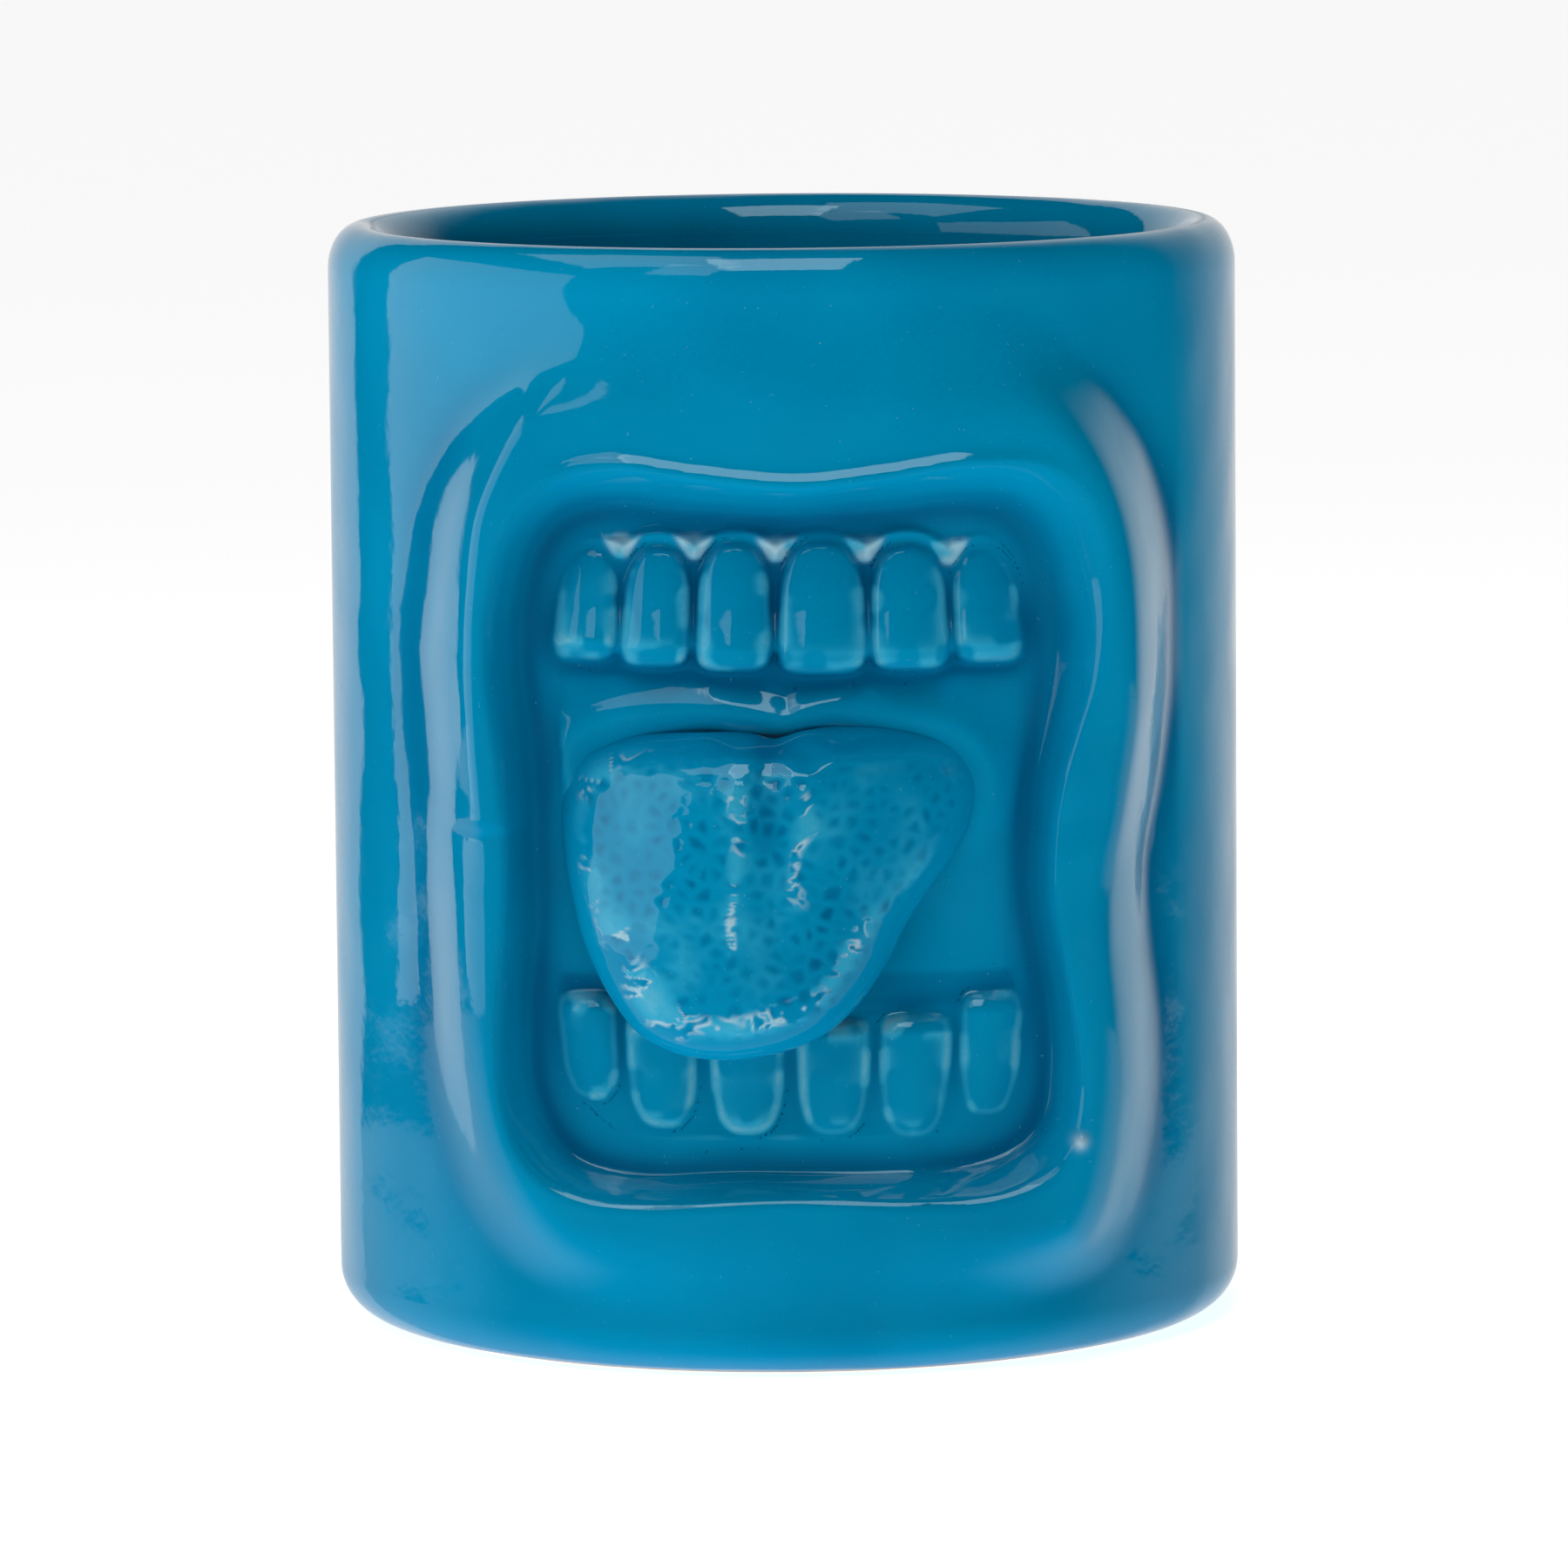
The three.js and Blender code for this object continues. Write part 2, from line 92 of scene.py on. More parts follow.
MOAT_EDGE = [
    (0, 79.2), (9, 79.6), (16, 80.0), (20.4, 78.8), (22.9, 74.5), (23.8, 67), (23.2, 59), (22.4, 52),
    (22.2, 44), (23.4, 36), (24.0, 29), (22.9, 22.8), (18, 19.6), (8, 18.9), (-4, 19.1), (-14, 18.8),
    (-20, 20.6), (-23, 26), (-23.4, 33), (-22.6, 42), (-22.6, 50), (-23, 58), (-23.8, 66), (-23.2, 73),
    (-20.9, 78), (-16, 80), (-8, 79.6),
]
UPPER_GUM = [
    (0, 77.9), (3.5, 78.3), (7.2, 77.7), (11, 78.6), (15.2, 77.3), (18.5, 77.6), (21, 75.2), (22.2, 71),
    (22, 67.2), (20, 64.6), (14, 64.0), (0, 63.6), (-10, 64.2), (-17, 65.0), (-20.4, 66.6), (-21.3, 71),
    (-20.6, 75.4), (-18.2, 77.6), (-15, 77.6), (-11.6, 79.0), (-8, 77.9), (-4.4, 78.5),
]
PANEL = [
    (0, 64.8), (12, 65), (20.8, 65), (21.9, 63.4), (22.0, 57), (21.2, 51), (20.5, 46), (20.3, 40),
    (19.9, 36.5), (12, 34), (0, 33), (-12, 34), (-19.8, 36), (-20.7, 41), (-20.7, 50), (-20.8, 58),
    (-20.7, 63.2), (-19.8, 65), (-10, 65),
]
LOWER_GUM = [
    (0, 37.9), (10, 37.9), (17, 37.9), (19.6, 37.4), (21.3, 34.6), (22.0, 30), (21.1, 25.8), (18.6, 23.0),
    (14.5, 21.1), (9, 20.4), (3, 20.9), (-4, 21.2), (-11, 20.8), (-15.5, 22.6), (-18.8, 25.4),
    (-20.8, 29.4), (-21.2, 33.4), (-20.2, 36.2), (-16, 37.5), (-8, 37.9),
]
TONGUE_BEAD = [
    (-20.5, 55.5), (-20.2, 58), (-18.6, 59.8), (-15, 61.0), (-10, 61.6), (-5, 61.5), (-1.5, 60.9),
    (0.2, 60.6), (2, 61.2), (5, 61.7), (10, 61.0), (14.5, 60.0), (17.4, 58.2), (18.9, 55.6), (18.7, 52),
    (17.6, 48.5),
]
TONGUE = [
    (-1, 59.2), (2, 59.9), (6, 60.1), (12, 59.5), (16.2, 58.1), (17.9, 55.2), (17.4, 52), (15.6, 48.4),
    (13.1, 45), (11, 42), (9.4, 38.9), (7.4, 35.9), (5, 33.4), (2.6, 31.9), (-0.6, 30.8), (-5, 30.2),
    (-8.5, 30.4), (-11.4, 31.2), (-14, 32.8), (-16.4, 36), (-18.4, 40), (-19.6, 44.2), (-20.4, 48.6),
    (-20.6, 52), (-20.2, 55.4), (-18.2, 57.9), (-14, 59.2), (-8, 59.7), (-3.4, 59.6),
]
# Each tooth: left, right, bottom and top, then how far its top leans to the right.
UPPER_TEETH = [
    (-21.2, -14.9, 65.9, 76.7, 0.6),
    (-15.1, -8.3, 65.4, 77.0, 0.5),
    (-8.3, -0.9, 65.0, 77.4, 0.2),
    (-0.8, 7.7, 64.7, 77.5, 0.0),
    (7.6, 15.2, 64.9, 77.0, -0.3),
    (15.1, 21.9, 65.4, 76.3, -0.6),
]
LOWER_TEETH = [
    (-21.3, -15.2, 25.2, 35.8, -0.6),
    (-15.1, -8.1, 22.8, 34.0, -0.3),
    (-7.4, -0.1, 22.2, 33.6, 0.0),
    (0.6, 7.8, 22.0, 33.6, 0.1),
    (8.1, 15.2, 21.6, 33.8, 0.3),
    (15.5, 21.7, 23.4, 35.6, 0.5),
]

CENTRE_X, CENTRE_Z = 0.0, 50.0
CORNER_Z = 50.5
# The level of the mouth's floor, over the cup.
MOUTH_LEVEL = -5.6
# The lips' pieces stay inside these limits of the finely meshed front.
LIP_LOW, LIP_HIGH, LIP_SIDE = 6.2, 98.4, 35.9


def smooth(t):
    t = np.clip(t, 0.0, 1.0)
    return t * t * (3 - 2 * t)


def past(value, start, over):
    """0 up to the start, rising to 1 over the given length."""
    return smooth((value - start) / over)


def before(value, end, over):
    """1, falling over the given length to 0 at the end."""
    return smooth((end - value) / over)


def bell(value, width):
    """1 at zero, falling off on both sides."""
    return np.exp(-((value / width) ** 2))


def mix(a, b, t):
    return a + (b - a) * t


def between_stops(value, stops):
    """Reads a value off a broken line through the stops, [place, value]."""
    return np.interp(value, [a for a, _ in stops], [v for _, v in stops])


def closed_curve(points, per=14):
    """A smooth closed line through the points."""
    p = np.array(points, float)
    t = (np.arange(per) / per)[None, :, None]
    p0, p1, p2, p3 = (np.roll(p, k, 0)[:, None, :] for k in (1, 0, -1, -2))
    squared, cubed = 2 * p0 - 5 * p1 + 4 * p2 - p3, 3 * p1 - p0 - 3 * p2 + p3
    out = 0.5 * (2 * p1 + (p2 - p0) * t + squared * t**2 + cubed * t**3)
    return out.reshape(-1, 2)


def open_curve(points, per=14):
    p = np.array(points, float)
    padded = np.vstack([2 * p[0] - p[1], p, 2 * p[-1] - p[-2]])
    return closed_curve(padded, per)[per : -2 * per]


def ray_radius(curve, cx=CENTRE_X, cz=CENTRE_Z):
    """How far a closed line is from a centre, as a function of direction."""
    d = curve - [cx, cz]
    angle = np.arctan2(d[:, 1], d[:, 0])
    order = np.argsort(angle)
    angle, radius = angle[order], np.hypot(d[:, 0], d[:, 1])[order]
    return lambda a: np.interp(a, angle, radius, period=2 * math.pi)


def line_distance(curve, X, Z, closed=True):
    """Distance to a line; negative inside it when it is closed."""
    a = curve
    b = np.roll(curve, -1, 0) if closed else curve[1:]
    a = a if closed else curve[:-1]
    best = np.full(X.shape, 1e9)
    inside = np.zeros(X.shape, bool)
    for (ax, az), (bx, bz) in zip(a, b):
        dx, dz = bx - ax, bz - az
        length2 = max(dx * dx + dz * dz, 1e-12)
        t = np.clip(((X - ax) * dx + (Z - az) * dz) / length2, 0, 1)
        best = np.minimum(best, (X - ax - t * dx) ** 2 + (Z - az - t * dz) ** 2)
        if closed and az != bz:
            crosses = (az > Z) != (bz > Z)
            inside ^= crosses & (X < ax + (Z - az) * dx / dz)
    best = np.sqrt(best)
    return np.where(inside, -best, best) if closed else best


def blur(a, sigma, step):
    """Gaussian blur, with sigma in millimetres."""
    reach = max(1, int(math.ceil(3 * sigma / step)))
    weight = np.exp(-0.5 * (np.arange(-reach, reach + 1) * step / sigma) ** 2)
    weight /= weight.sum()
    for axis in (0, 1):
        pad = [(0, 0), (0, 0)]
        pad[axis] = (reach, reach)
        padded = np.pad(a, pad, mode="edge")
        out = np.zeros_like(a)
        for k, w in enumerate(weight):
            out += w * (padded[k : k + a.shape[0], :] if axis == 0 else padded[:, k : k + a.shape[1]])
        a = out
    return a


def smooth_max(a, b, k):
    t = np.clip(0.5 + 0.5 * (a - b) / k, 0, 1)
    return mix(b, a, t) + k * t * (1 - t)


def quarter(d, w):
    """A rounded edge: 0 at the outline, 1 from w inside it."""
    t = 1 - np.clip(d / w, 0, 1)
    return np.sqrt(np.clip(1 - t * t, 0, 1))


NOISE_CELLS = 64


def scattered_dimples(x, z, size, seed):
    """1 in the middle of a dimple and 0 on the ridges between, over a jittered net of cells."""
    rng = np.random.default_rng(seed)
    jitter = rng.random((NOISE_CELLS, NOISE_CELLS, 3))
    u, v = (x + 40) / size, z / size
    iu, iv = np.floor(u).astype(int), np.floor(v).astype(int)
    first, second = np.full(x.shape, 9.0), np.full(x.shape, 9.0)
    depth = np.zeros(x.shape)
    for di in (-1, 0, 1):
        for dj in (-1, 0, 1):
            a, b = (iu + di) % NOISE_CELLS, (iv + dj) % NOISE_CELLS
            cell = jitter[b, a]
            dist = np.hypot(u - (iu + di + cell[..., 0]), v - (iv + dj + cell[..., 1]))
            closer = dist < first
            second = np.where(closer, first, np.minimum(second, dist))
            depth = np.where(closer, 0.5 + 0.5 * cell[..., 2], depth)
            first = np.where(closer, dist, first)
    return smooth((second - first) / 0.9) * depth


def soft_noise(x, z, size, seed):
    """Smooth noise between -1 and 1."""
    rng = np.random.default_rng(seed)
    knots = rng.uniform(-1, 1, (NOISE_CELLS, NOISE_CELLS))
    u, v = (x + 60) / size, (z + 20) / size
    iu, iv = np.floor(u).astype(int), np.floor(v).astype(int)
    fu, fv = smooth(u - iu), smooth(v - iv)
    left, right, low, high = iu % NOISE_CELLS, (iu + 1) % NOISE_CELLS, iv % NOISE_CELLS, (iv + 1) % NOISE_CELLS
    return mix(mix(knots[low, left], knots[low, right], fu), mix(knots[high, left], knots[high, right], fu), fv)


# ---------------------------------------------------------------- the relief, height over the cylinder
STEP = 0.2
GRID_X, GRID_LOW, GRID_HIGH = 37.4, 4.0, 101.0
gx = np.arange(-GRID_X, GRID_X + 0.01, STEP)
gz = np.arange(GRID_LOW, GRID_HIGH + 0.01, STEP)
X, Z = np.meshgrid(gx, gz)
foot_at, crest_at, moat_at = (ray_radius(closed_curve(c)) for c in (LIP_FOOT, LIP_CREST, MOAT_EDGE))
angle = np.arctan2(Z - CENTRE_Z, X - CENTRE_X)
radius = np.hypot(X - CENTRE_X, Z - CENTRE_Z)
r_foot, r_crest, r_moat = foot_at(angle), crest_at(angle), moat_at(angle)
sideways = past(np.abs(np.cos(angle)), 0.34, 0.42)
cup_depth = np.sqrt(R**2 - X**2)


def slope_profile(stops):
    """Height from 0 to 1 whose steepness follows the stops, [share of the way, steepness]."""
    t = np.linspace(0, 1, 401)
    steep = between_stops(t, stops)
    height = np.concatenate([[0], np.cumsum((steep[1:] + steep[:-1]) / 2)])
    return lambda v: np.interp(v, t, height / height[-1])


def by_angle(stops):
    """A value round the mouth, by direction in degrees (0 right, 90 up)."""
    return between_stops(np.degrees(angle), stops)


def bowed(front, bow_radius):
    """Height over the cup of a face this far in front of the axis, bowed sideways with this radius."""
    return front - X**2 / (2 * bow_radius) - cup_depth


def inside_of(outline):
    """Distance inside a closed outline."""
    return -line_distance(closed_curve(outline, 6), X, Z)


# The lips belong to a mask that is flatter than the cup and stands out of it at its sides. It rounds off at its top.
MASK_FRONT, MASK_ROUND, MASK_ROUND_TOP = 44.2, 125.0, 58.0
MASK_END, MASK_FADE = 99.6, 11
mask_height = bowed(MASK_FRONT, mix(MASK_ROUND, MASK_ROUND_TOP, past(Z, 83, 11)))
EDGE_WIDTH = [
    (-180, 7.4), (-165, 7.6), (-150, 7.4), (-130, 8), (-110, 9), (-90, 9), (-70, 9), (-50, 8), (-35, 7),
    (-15, 6.3), (0, 5.8), (25, 5.6), (42, 6), (52, 6.6), (62, 7), (90, 7), (107, 6.2), (114, 6), (128, 6.4),
    (138, 6.8), (150, 7.2), (160, 7.2), (180, 7.4),
]
# The steepness across the mask's edge: plain on the right and at the corners, folded on the upper left, broad on
# the lower left, and sagging at the bottom. The three tables after them say where each one holds.
plain_edge = slope_profile([(0, 0), (0.16, 1.05), (0.60, 1.05), (0.76, 0.35), (1, 0)])
folded_edge = slope_profile([
    (0, 0), (0.12, 0.26), (0.3, 0.75), (0.44, 1.42), (0.55, 1.85), (0.68, 1.9), (0.725, 1.2), (0.78, 1.95),
    (0.87, 1.85), (0.94, 0.8), (1, 0.1),
])
broad_edge = slope_profile([
    (0, 0), (0.15, 0.5), (0.3, 1.38), (0.36, 1.62), (0.56, 1.66), (0.62, 1.2), (0.72, 0.85), (0.88, 0.35), (1, 0),
])
sagging_edge = slope_profile([(0, 0), (0.2, 0.5), (0.5, 1), (0.75, 0.6), (1, 0)])
FOLDED = [(-180, 0.6), (-170, 0), (85, 0), (104, 1), (172, 1), (180, 0.6)]
BROAD = [(-180, 0.4), (-170, 1), (-145, 1), (-130, 0), (172, 0), (180, 0.4)]
SAGGING = [(-145, 0), (-130, 1), (-60, 1), (-40, 0.3), (-25, 0)]
across = np.clip(inside_of(LIP_FOOT) / by_angle(EDGE_WIDTH), 0, 1)
folded, broad, sagging = by_angle(FOLDED), by_angle(BROAD), by_angle(SAGGING)
raised = folded_edge(across) * folded + broad_edge(across) * broad + sagging_edge(across) * sagging
raised += plain_edge(across) * np.clip(1 - folded - broad - sagging, 0, 1)
raised /= np.maximum(folded + broad + sagging, 1)
rise = mask_height * raised * before(Z, MASK_END, MASK_FADE)

# The floor of the mouth is flatter than the cup, and shallower at the bottom.
MOUTH_FLOOR, MOUTH_FLOOR_ROUND = 38.2, 110
SHALLOWER = [
    (-150, 0), (-125, 1.0), (-110, 1.7), (-90, 1.9), (-70, 1.7), (-55, 1.0), (-30, 0), (60, 0), (90, 0.4), (120, 0),
]
moat_floor = bowed(MOUTH_FLOOR, MOUTH_FLOOR_ROUND) + by_angle(SHALLOWER)
# The lips fall softly into the mouth; only the lower one falls straight, into a tight corner.
LOW_LIP = [(-150, 0), (-125, 1), (-55, 1), (-30, 0)]
low_lip = by_angle(LOW_LIP)
straight_fall = slope_profile([(0, 0), (0.3, 1.2), (1, 1.2)])
inner = np.clip((r_crest - radius) / (r_crest - r_moat), 0, 1)
fall = mix(rise, moat_floor, mix(0.5 - 0.5 * np.cos(math.pi * inner), straight_fall(inner), low_lip))
relief = np.where(radius >= r_crest, rise, fall)

# The left corner, where the upper lip laps over the lower one, and a soft pinch in the right corner.
LAP_DEPTH, PINCH_DEPTH, PINCH_TILT = 0.75, 0.5, 0.25
lap = before(Z, CORNER_Z + 0.9, 1.0) * past(Z, 36, 14) * past(-X, 22.5, 1.6) * past(X, -31.5, 2.5)
relief -= LAP_DEPTH * lap
pinch = bell(Z - 51.5 - PINCH_TILT * (X - 26), 2.2) * past(X, 22.5, 2) * before(X, 31, 4)
relief -= PINCH_DEPTH * pinch
# The lips are soft all over, with a thin ridge along the middle of the upper one.
LIP_SOFTNESS, RIDGE_HEIGHT, RIDGE_WIDTH = 0.32, 0.8, 0.85
relief = mix(blur(relief, LIP_SOFTNESS, STEP), relief, low_lip * smooth((r_moat + 1.1 - radius) / 0.6))
crest_gap = (radius - r_crest) * np.where(np.abs(np.cos(angle)) > 0.7, 0.8, 1.0)
relief += RIDGE_HEIGHT * bell(crest_gap - 0.35, RIDGE_WIDTH) * (1 - sideways) * past(Z, CENTRE_Z, 10)

# A pimple in the glaze on the lower lip.
PIMPLE_X, PIMPLE_Z, PIMPLE_R, PIMPLE_HEIGHT = 26.8, 21.7, 0.62, 0.55
pimple = np.exp(-(((X - PIMPLE_X) ** 2 + (Z - PIMPLE_Z) ** 2) / PIMPLE_R**2))
relief += PIMPLE_HEIGHT * pimple

# The raised block that carries the teeth, standing in the mouth: a panel with a bead over the tongue, and two gums.
d_panel, d_upper, d_lower = inside_of(PANEL), inside_of(UPPER_GUM), inside_of(LOWER_GUM)
d_bead = line_distance(open_curve(TONGUE_BEAD, 6), X, Z, closed=False)
PANEL_FRONT, PANEL_BOW, PANEL_EDGE = 38.5, 105, 1.3
BEAD_HEIGHT, BEAD_MIDDLE, BEAD_WIDTH = 1.15, 0.75, 1.95
panel = mix(moat_floor, bowed(PANEL_FRONT, PANEL_BOW), quarter(d_panel, PANEL_EDGE))
bead_crest = (BEAD_HEIGHT + BEAD_MIDDLE * bell(X + 0.5, 6.5)) * bell(d_bead, BEAD_WIDTH) * past(Z, 47, 6)
panel = panel + bead_crest * (d_panel > 0)

# The gums and teeth follow one arch over the cup. Each profile gives heights over it, by height above the table.
ARCH_FRONT, ARCH_BOW = 43, 60
GUM_EDGE, GUM_SINK = 1.6, 0.4
UPPER_PROFILE = [
    (64, -4.9), (65.6, -4.7), (66.4, -4.4), (67.4, -4.6), (70.9, -5.6), (74.2, -5.8), (75.8, -5.0), (76.8, -4.0),
    (77.8, -3.7), (79.4, -5.2),
]
LOWER_PROFILE = [
    (20, -4.2), (21.0, -2.9), (22.2, -2.4), (23.4, -3.0), (26, -4.9), (31, -5.2), (33.5, -5.2), (37.6, -5.4),
]
arch = bowed(ARCH_FRONT, ARCH_BOW)
upper = mix(moat_floor - GUM_SINK, between_stops(Z, UPPER_PROFILE) + arch, quarter(d_upper, GUM_EDGE))
lower = mix(moat_floor - GUM_SINK, between_stops(Z, LOWER_PROFILE) + arch, quarter(d_lower, GUM_EDGE))

# The two rows of teeth. The ends are powers of a superellipse, and the face gives heights over the arch by the
# share of the way up from the tooth's bottom.
UPPER_ROW = dict(
    narrows=0.06, round_end=2.5, flat_end=4.6,
    face=[(0, -2.3), (0.1, -0.6), (0.2, 0.0), (0.5, -1.5), (0.8, -2.7), (1, -3.5)],
)
LOWER_ROW = dict(
    narrows=0.08, round_end=2.7, flat_end=5.0,
    face=[(0, -2.9), (0.12, -1.8), (0.5, -1.3), (0.84, -1.2), (0.93, -1.8), (1, -3.4)],
)
TOOTH_LEAN, TOOTH_EDGE, TOOTH_SINK, DOME_HEIGHT, DOME_SHARE = 0.6, 0.85, 2.9, 2.7, 0.9
OUT_OF_SIGHT = -99


def tooth(spec, is_upper):
    """Height of one tooth, and the distance inside its outline."""
    left, right, bottom, top, lean = spec
    row = UPPER_ROW if is_upper else LOWER_ROW
    half_w, half_h = (right - left) / 2, (top - bottom) / 2
    w = (Z - (bottom + top) / 2) / half_h
    neck = np.clip(w if is_upper else -w, -1, 1)
    u = (X - (left + right) / 2 - lean * w * TOOTH_LEAN) / (half_w * (1 - row["narrows"] * (neck + 0.1)))
    power = mix(row["flat_end"], row["round_end"], smooth(0.5 + neck))
    r = (np.abs(u) ** power + np.abs(w) ** power + 1e-9) ** (1 / power)
    gu = np.abs(u) ** (power - 1) * r ** (1 - power) / half_w
    gw = np.abs(w) ** (power - 1) * r ** (1 - power) / half_h
    d = (1 - r) / np.maximum(np.hypot(gu, gw), 1e-6)
    face = between_stops((Z - bottom) / (top - bottom), row["face"])
    dome = DOME_HEIGHT * (1 - np.sqrt(np.clip(1 - (DOME_SHARE * np.clip(u, -1.05, 1.05)) ** 2, 0.05, 1)))
    height = mix(face - TOOTH_SINK, face - dome, quarter(d, TOOTH_EDGE)) + arch
    return np.where(d > 0, height, OUT_OF_SIGHT), d


upper_parts = [tooth(t, True) for t in UPPER_TEETH]
lower_parts = [tooth(t, False) for t in LOWER_TEETH]

# Gum collars that follow the necks of the upper teeth, and the points of gum between them.
COLLAR_GAP, COLLAR_WIDTH, COLLAR_HEIGHT, POINT_HEIGHT = 1.0, 0.55, 0.7, 0.35
for _, d in upper_parts:
    collar = bell(d + COLLAR_GAP, COLLAR_WIDTH) * past(Z, 73.5, 2.5)
    upper = upper + COLLAR_HEIGHT * collar * (d_upper > 0.2)
GUM_POINTS = [(-14.9, 75.2), (-8.2, 75.2), (-0.7, 74.9), (7.4, 74.8), (15.1, 74.4)]
gum_points = np.zeros_like(X)
for point_x, point_z in GUM_POINTS:
    half_width = 0.25 + 0.62 * np.clip(Z - point_z, 0, 3)
    wedge = smooth((half_width - np.abs(X - point_x)) / 0.6 + 0.5)
    gum_points += wedge * past(Z, point_z, 0.8) * before(Z, point_z + 2.9, 0.9)
upper = upper + POINT_HEIGHT * gum_points

# How softly the pieces run into each other.
GUM_BLEND, TOOTH_BLEND, MOUTH_BLEND, SURFACE_SOFTNESS = 0.5, 0.25, 0.7, 0.17
block = smooth_max(smooth_max(panel, upper, GUM_BLEND), lower, GUM_BLEND)
for height, _ in upper_parts + lower_parts:
    block = smooth_max(block, height, TOOTH_BLEND)
inside_moat = radius < r_moat + 3
relief = np.where(inside_moat, smooth_max(relief, np.where(inside_moat, block, OUT_OF_SIGHT), MOUTH_BLEND), relief)
relief = blur(relief, SURFACE_SOFTNESS, STEP)
slope_x = np.gradient(relief, STEP, axis=1)
slope_z = np.gradient(relief, STEP, axis=0)

# How far the surface stands out of its surroundings: pale glaze on sharp edges, and deep colour in hollows, which is
# partly pooled glaze and partly painted shade.
patchy = smooth(0.5 + 1.4 * soft_noise(X, Z, 1.7, SEED + 5)) * 0.9 + 0.1
edge_map = (blur(relief, 0.2, STEP) - blur(relief, 0.6, STEP)) * smooth((r_moat - radius) / 0.8) * patchy
edge_map *= (1 - 0.85 * bell(d_bead, 1.6)) * (1 - 0.55 * before(Z, 68.5, 1) * past(Z, 63, 1))
# Thin glaze follows the outlines of the teeth, stronger on the lower ones; none shows on the upper necks.
UPPER_OUTLINE, LOWER_OUTLINE, OUTLINE_INSIDE, OUTLINE_WIDTH = 0.16, 0.24, 0.75, 0.42
for parts, strength in ((upper_parts, UPPER_OUTLINE), (lower_parts, LOWER_OUTLINE)):
    for _, d in parts:
        outline = bell(d - OUTLINE_INSIDE, OUTLINE_WIDTH) * (0.25 + 0.75 * patchy)
        edge_map = np.maximum(edge_map, strength * outline)
edge_map *= np.where((Z > 60) & (Z < 80), before(Z, 75.5, 2), 1)
# Painted highlight on the points of gum between the upper teeth, partly thin glaze: white in patches, and a little
# lighter through the edge colour.
gum_shine = gum_points * smooth(0.75 + 0.9 * soft_noise(X, Z, 1.1, SEED + 10))
edge_map += 0.2 * gum_points
# Deeper colour in the narrow gaps between and round the teeth: partly pooled glaze, partly painted shade.
groove_and_shade_map = np.clip(blur(relief, 1.2, STEP) - blur(relief, 0.3, STEP), 0, 1.2)
groove_and_shade_map *= smooth((r_moat + 0.5 - radius) / 1.5)
hollow_and_shade_map = blur(relief, 3.2, STEP) - blur(relief, 0.6, STEP) + 2.4 * groove_and_shade_map
# Painted shadow on the ledge between the panel and the lower teeth, where the tongue shades it.
hollow_and_shade_map += 0.9 * (before(Z, 37.6, 0.8) * past(Z, 33.2, 1.6) * before(np.abs(X), 21.5, 1.5))
# White: the glaze pimple, and the painted highlight on the points of gum.
white_and_highlight_map = 0.7 * pimple + 0.5 * gum_shine

# The mouth pushes the inside of the cup back in a soft bulge.
BULGE_REACH, BULGE_SOFTNESS = 14, 1.2
bulge_edge = np.minimum(r_foot, r_moat + BULGE_REACH)
bulge = blur(MOUTH_LEVEL * smooth((bulge_edge - radius) / (bulge_edge - r_moat)), BULGE_SOFTNESS, STEP)


def sample(field, x, z):
    """Reads a field of the relief grid at points, between its knots."""
    fx = np.clip((x - gx[0]) / STEP, 0, len(gx) - 1.001)
    fz = np.clip((z - gz[0]) / STEP, 0, len(gz) - 1.001)
    i, j = fz.astype(int), fx.astype(int)
    a, b = fz - i, fx - j
    left = field[i, j] * (1 - a) + field[i + 1, j] * a
    right = field[i, j + 1] * (1 - a) + field[i + 1, j + 1] * a
    return left * (1 - b) + right * b


# ---------------------------------------------------------------- the columns and rows that every glazed piece shares
def spaced(start, end, step):
    return np.linspace(start, end, max(1, round((end - start) / step)) + 1)


def joined(*runs):
    return np.concatenate([runs[0]] + [r[1:] for r in runs[1:]])


def unit(vectors):
    return vectors / np.linalg.norm(vectors, axis=-1, keepdims=True)


# Fine cells over the mouth, wider ones at the edge of the front, and coarse columns round the back.
FINE_X, FINE_COLUMN, EDGE_COLUMN, BACK_COLUMNS = 28.6, 0.25, 0.42, 90
FINE_LOW, FINE_HIGH, ROWS_END, FINE_ROW, EDGE_ROW = 17, 84, 99.4, 0.27, 0.44
EDGE_ANGLE = math.radians(57.5)
arc_fine, arc_edge = R * math.asin(FINE_X / R), R * EDGE_ANGLE
half = joined(spaced(0, arc_fine, FINE_COLUMN), spaced(arc_fine, arc_edge, EDGE_COLUMN)) / R
phi = np.concatenate([-half[:0:-1], half])
coarse = np.linspace(EDGE_ANGLE, 2 * math.pi - EDGE_ANGLE, BACK_COLUMNS)[1:-1]
ring_angles = np.concatenate([phi, coarse])
rows = joined(
    spaced(BASE_ROUND + 0.1, FINE_LOW, EDGE_ROW), spaced(FINE_LOW, FINE_HIGH, FINE_ROW),
    spaced(FINE_HIGH, ROWS_END, EDGE_ROW),
)
PHI, ROW = np.meshgrid(phi, rows)
GX = R * np.sin(PHI)

front_h = sample(relief, GX, ROW)
front_depth = R * np.cos(PHI)
front_points = np.stack([GX, -(front_depth + front_h), ROW], -1)
front_normals = unit(np.stack(
    [GX / front_depth - sample(slope_x, GX, ROW), -np.ones_like(GX), -sample(slope_z, GX, ROW)], -1
))
front_values = np.stack([sample(field, GX, ROW) for field in (edge_map, hollow_and_shade_map, white_and_highlight_map)], -1)

# The rows of the inside spread at the bottom, so that they end at the top of the fillet.
FILLET_TOP, SPREAD_TOP = FLOOR_TOP + FILLET + 0.1, 16
inner_row = np.where(ROW < SPREAD_TOP, mix(FILLET_TOP, SPREAD_TOP, (ROW - rows[0]) / (SPREAD_TOP - rows[0])), ROW)
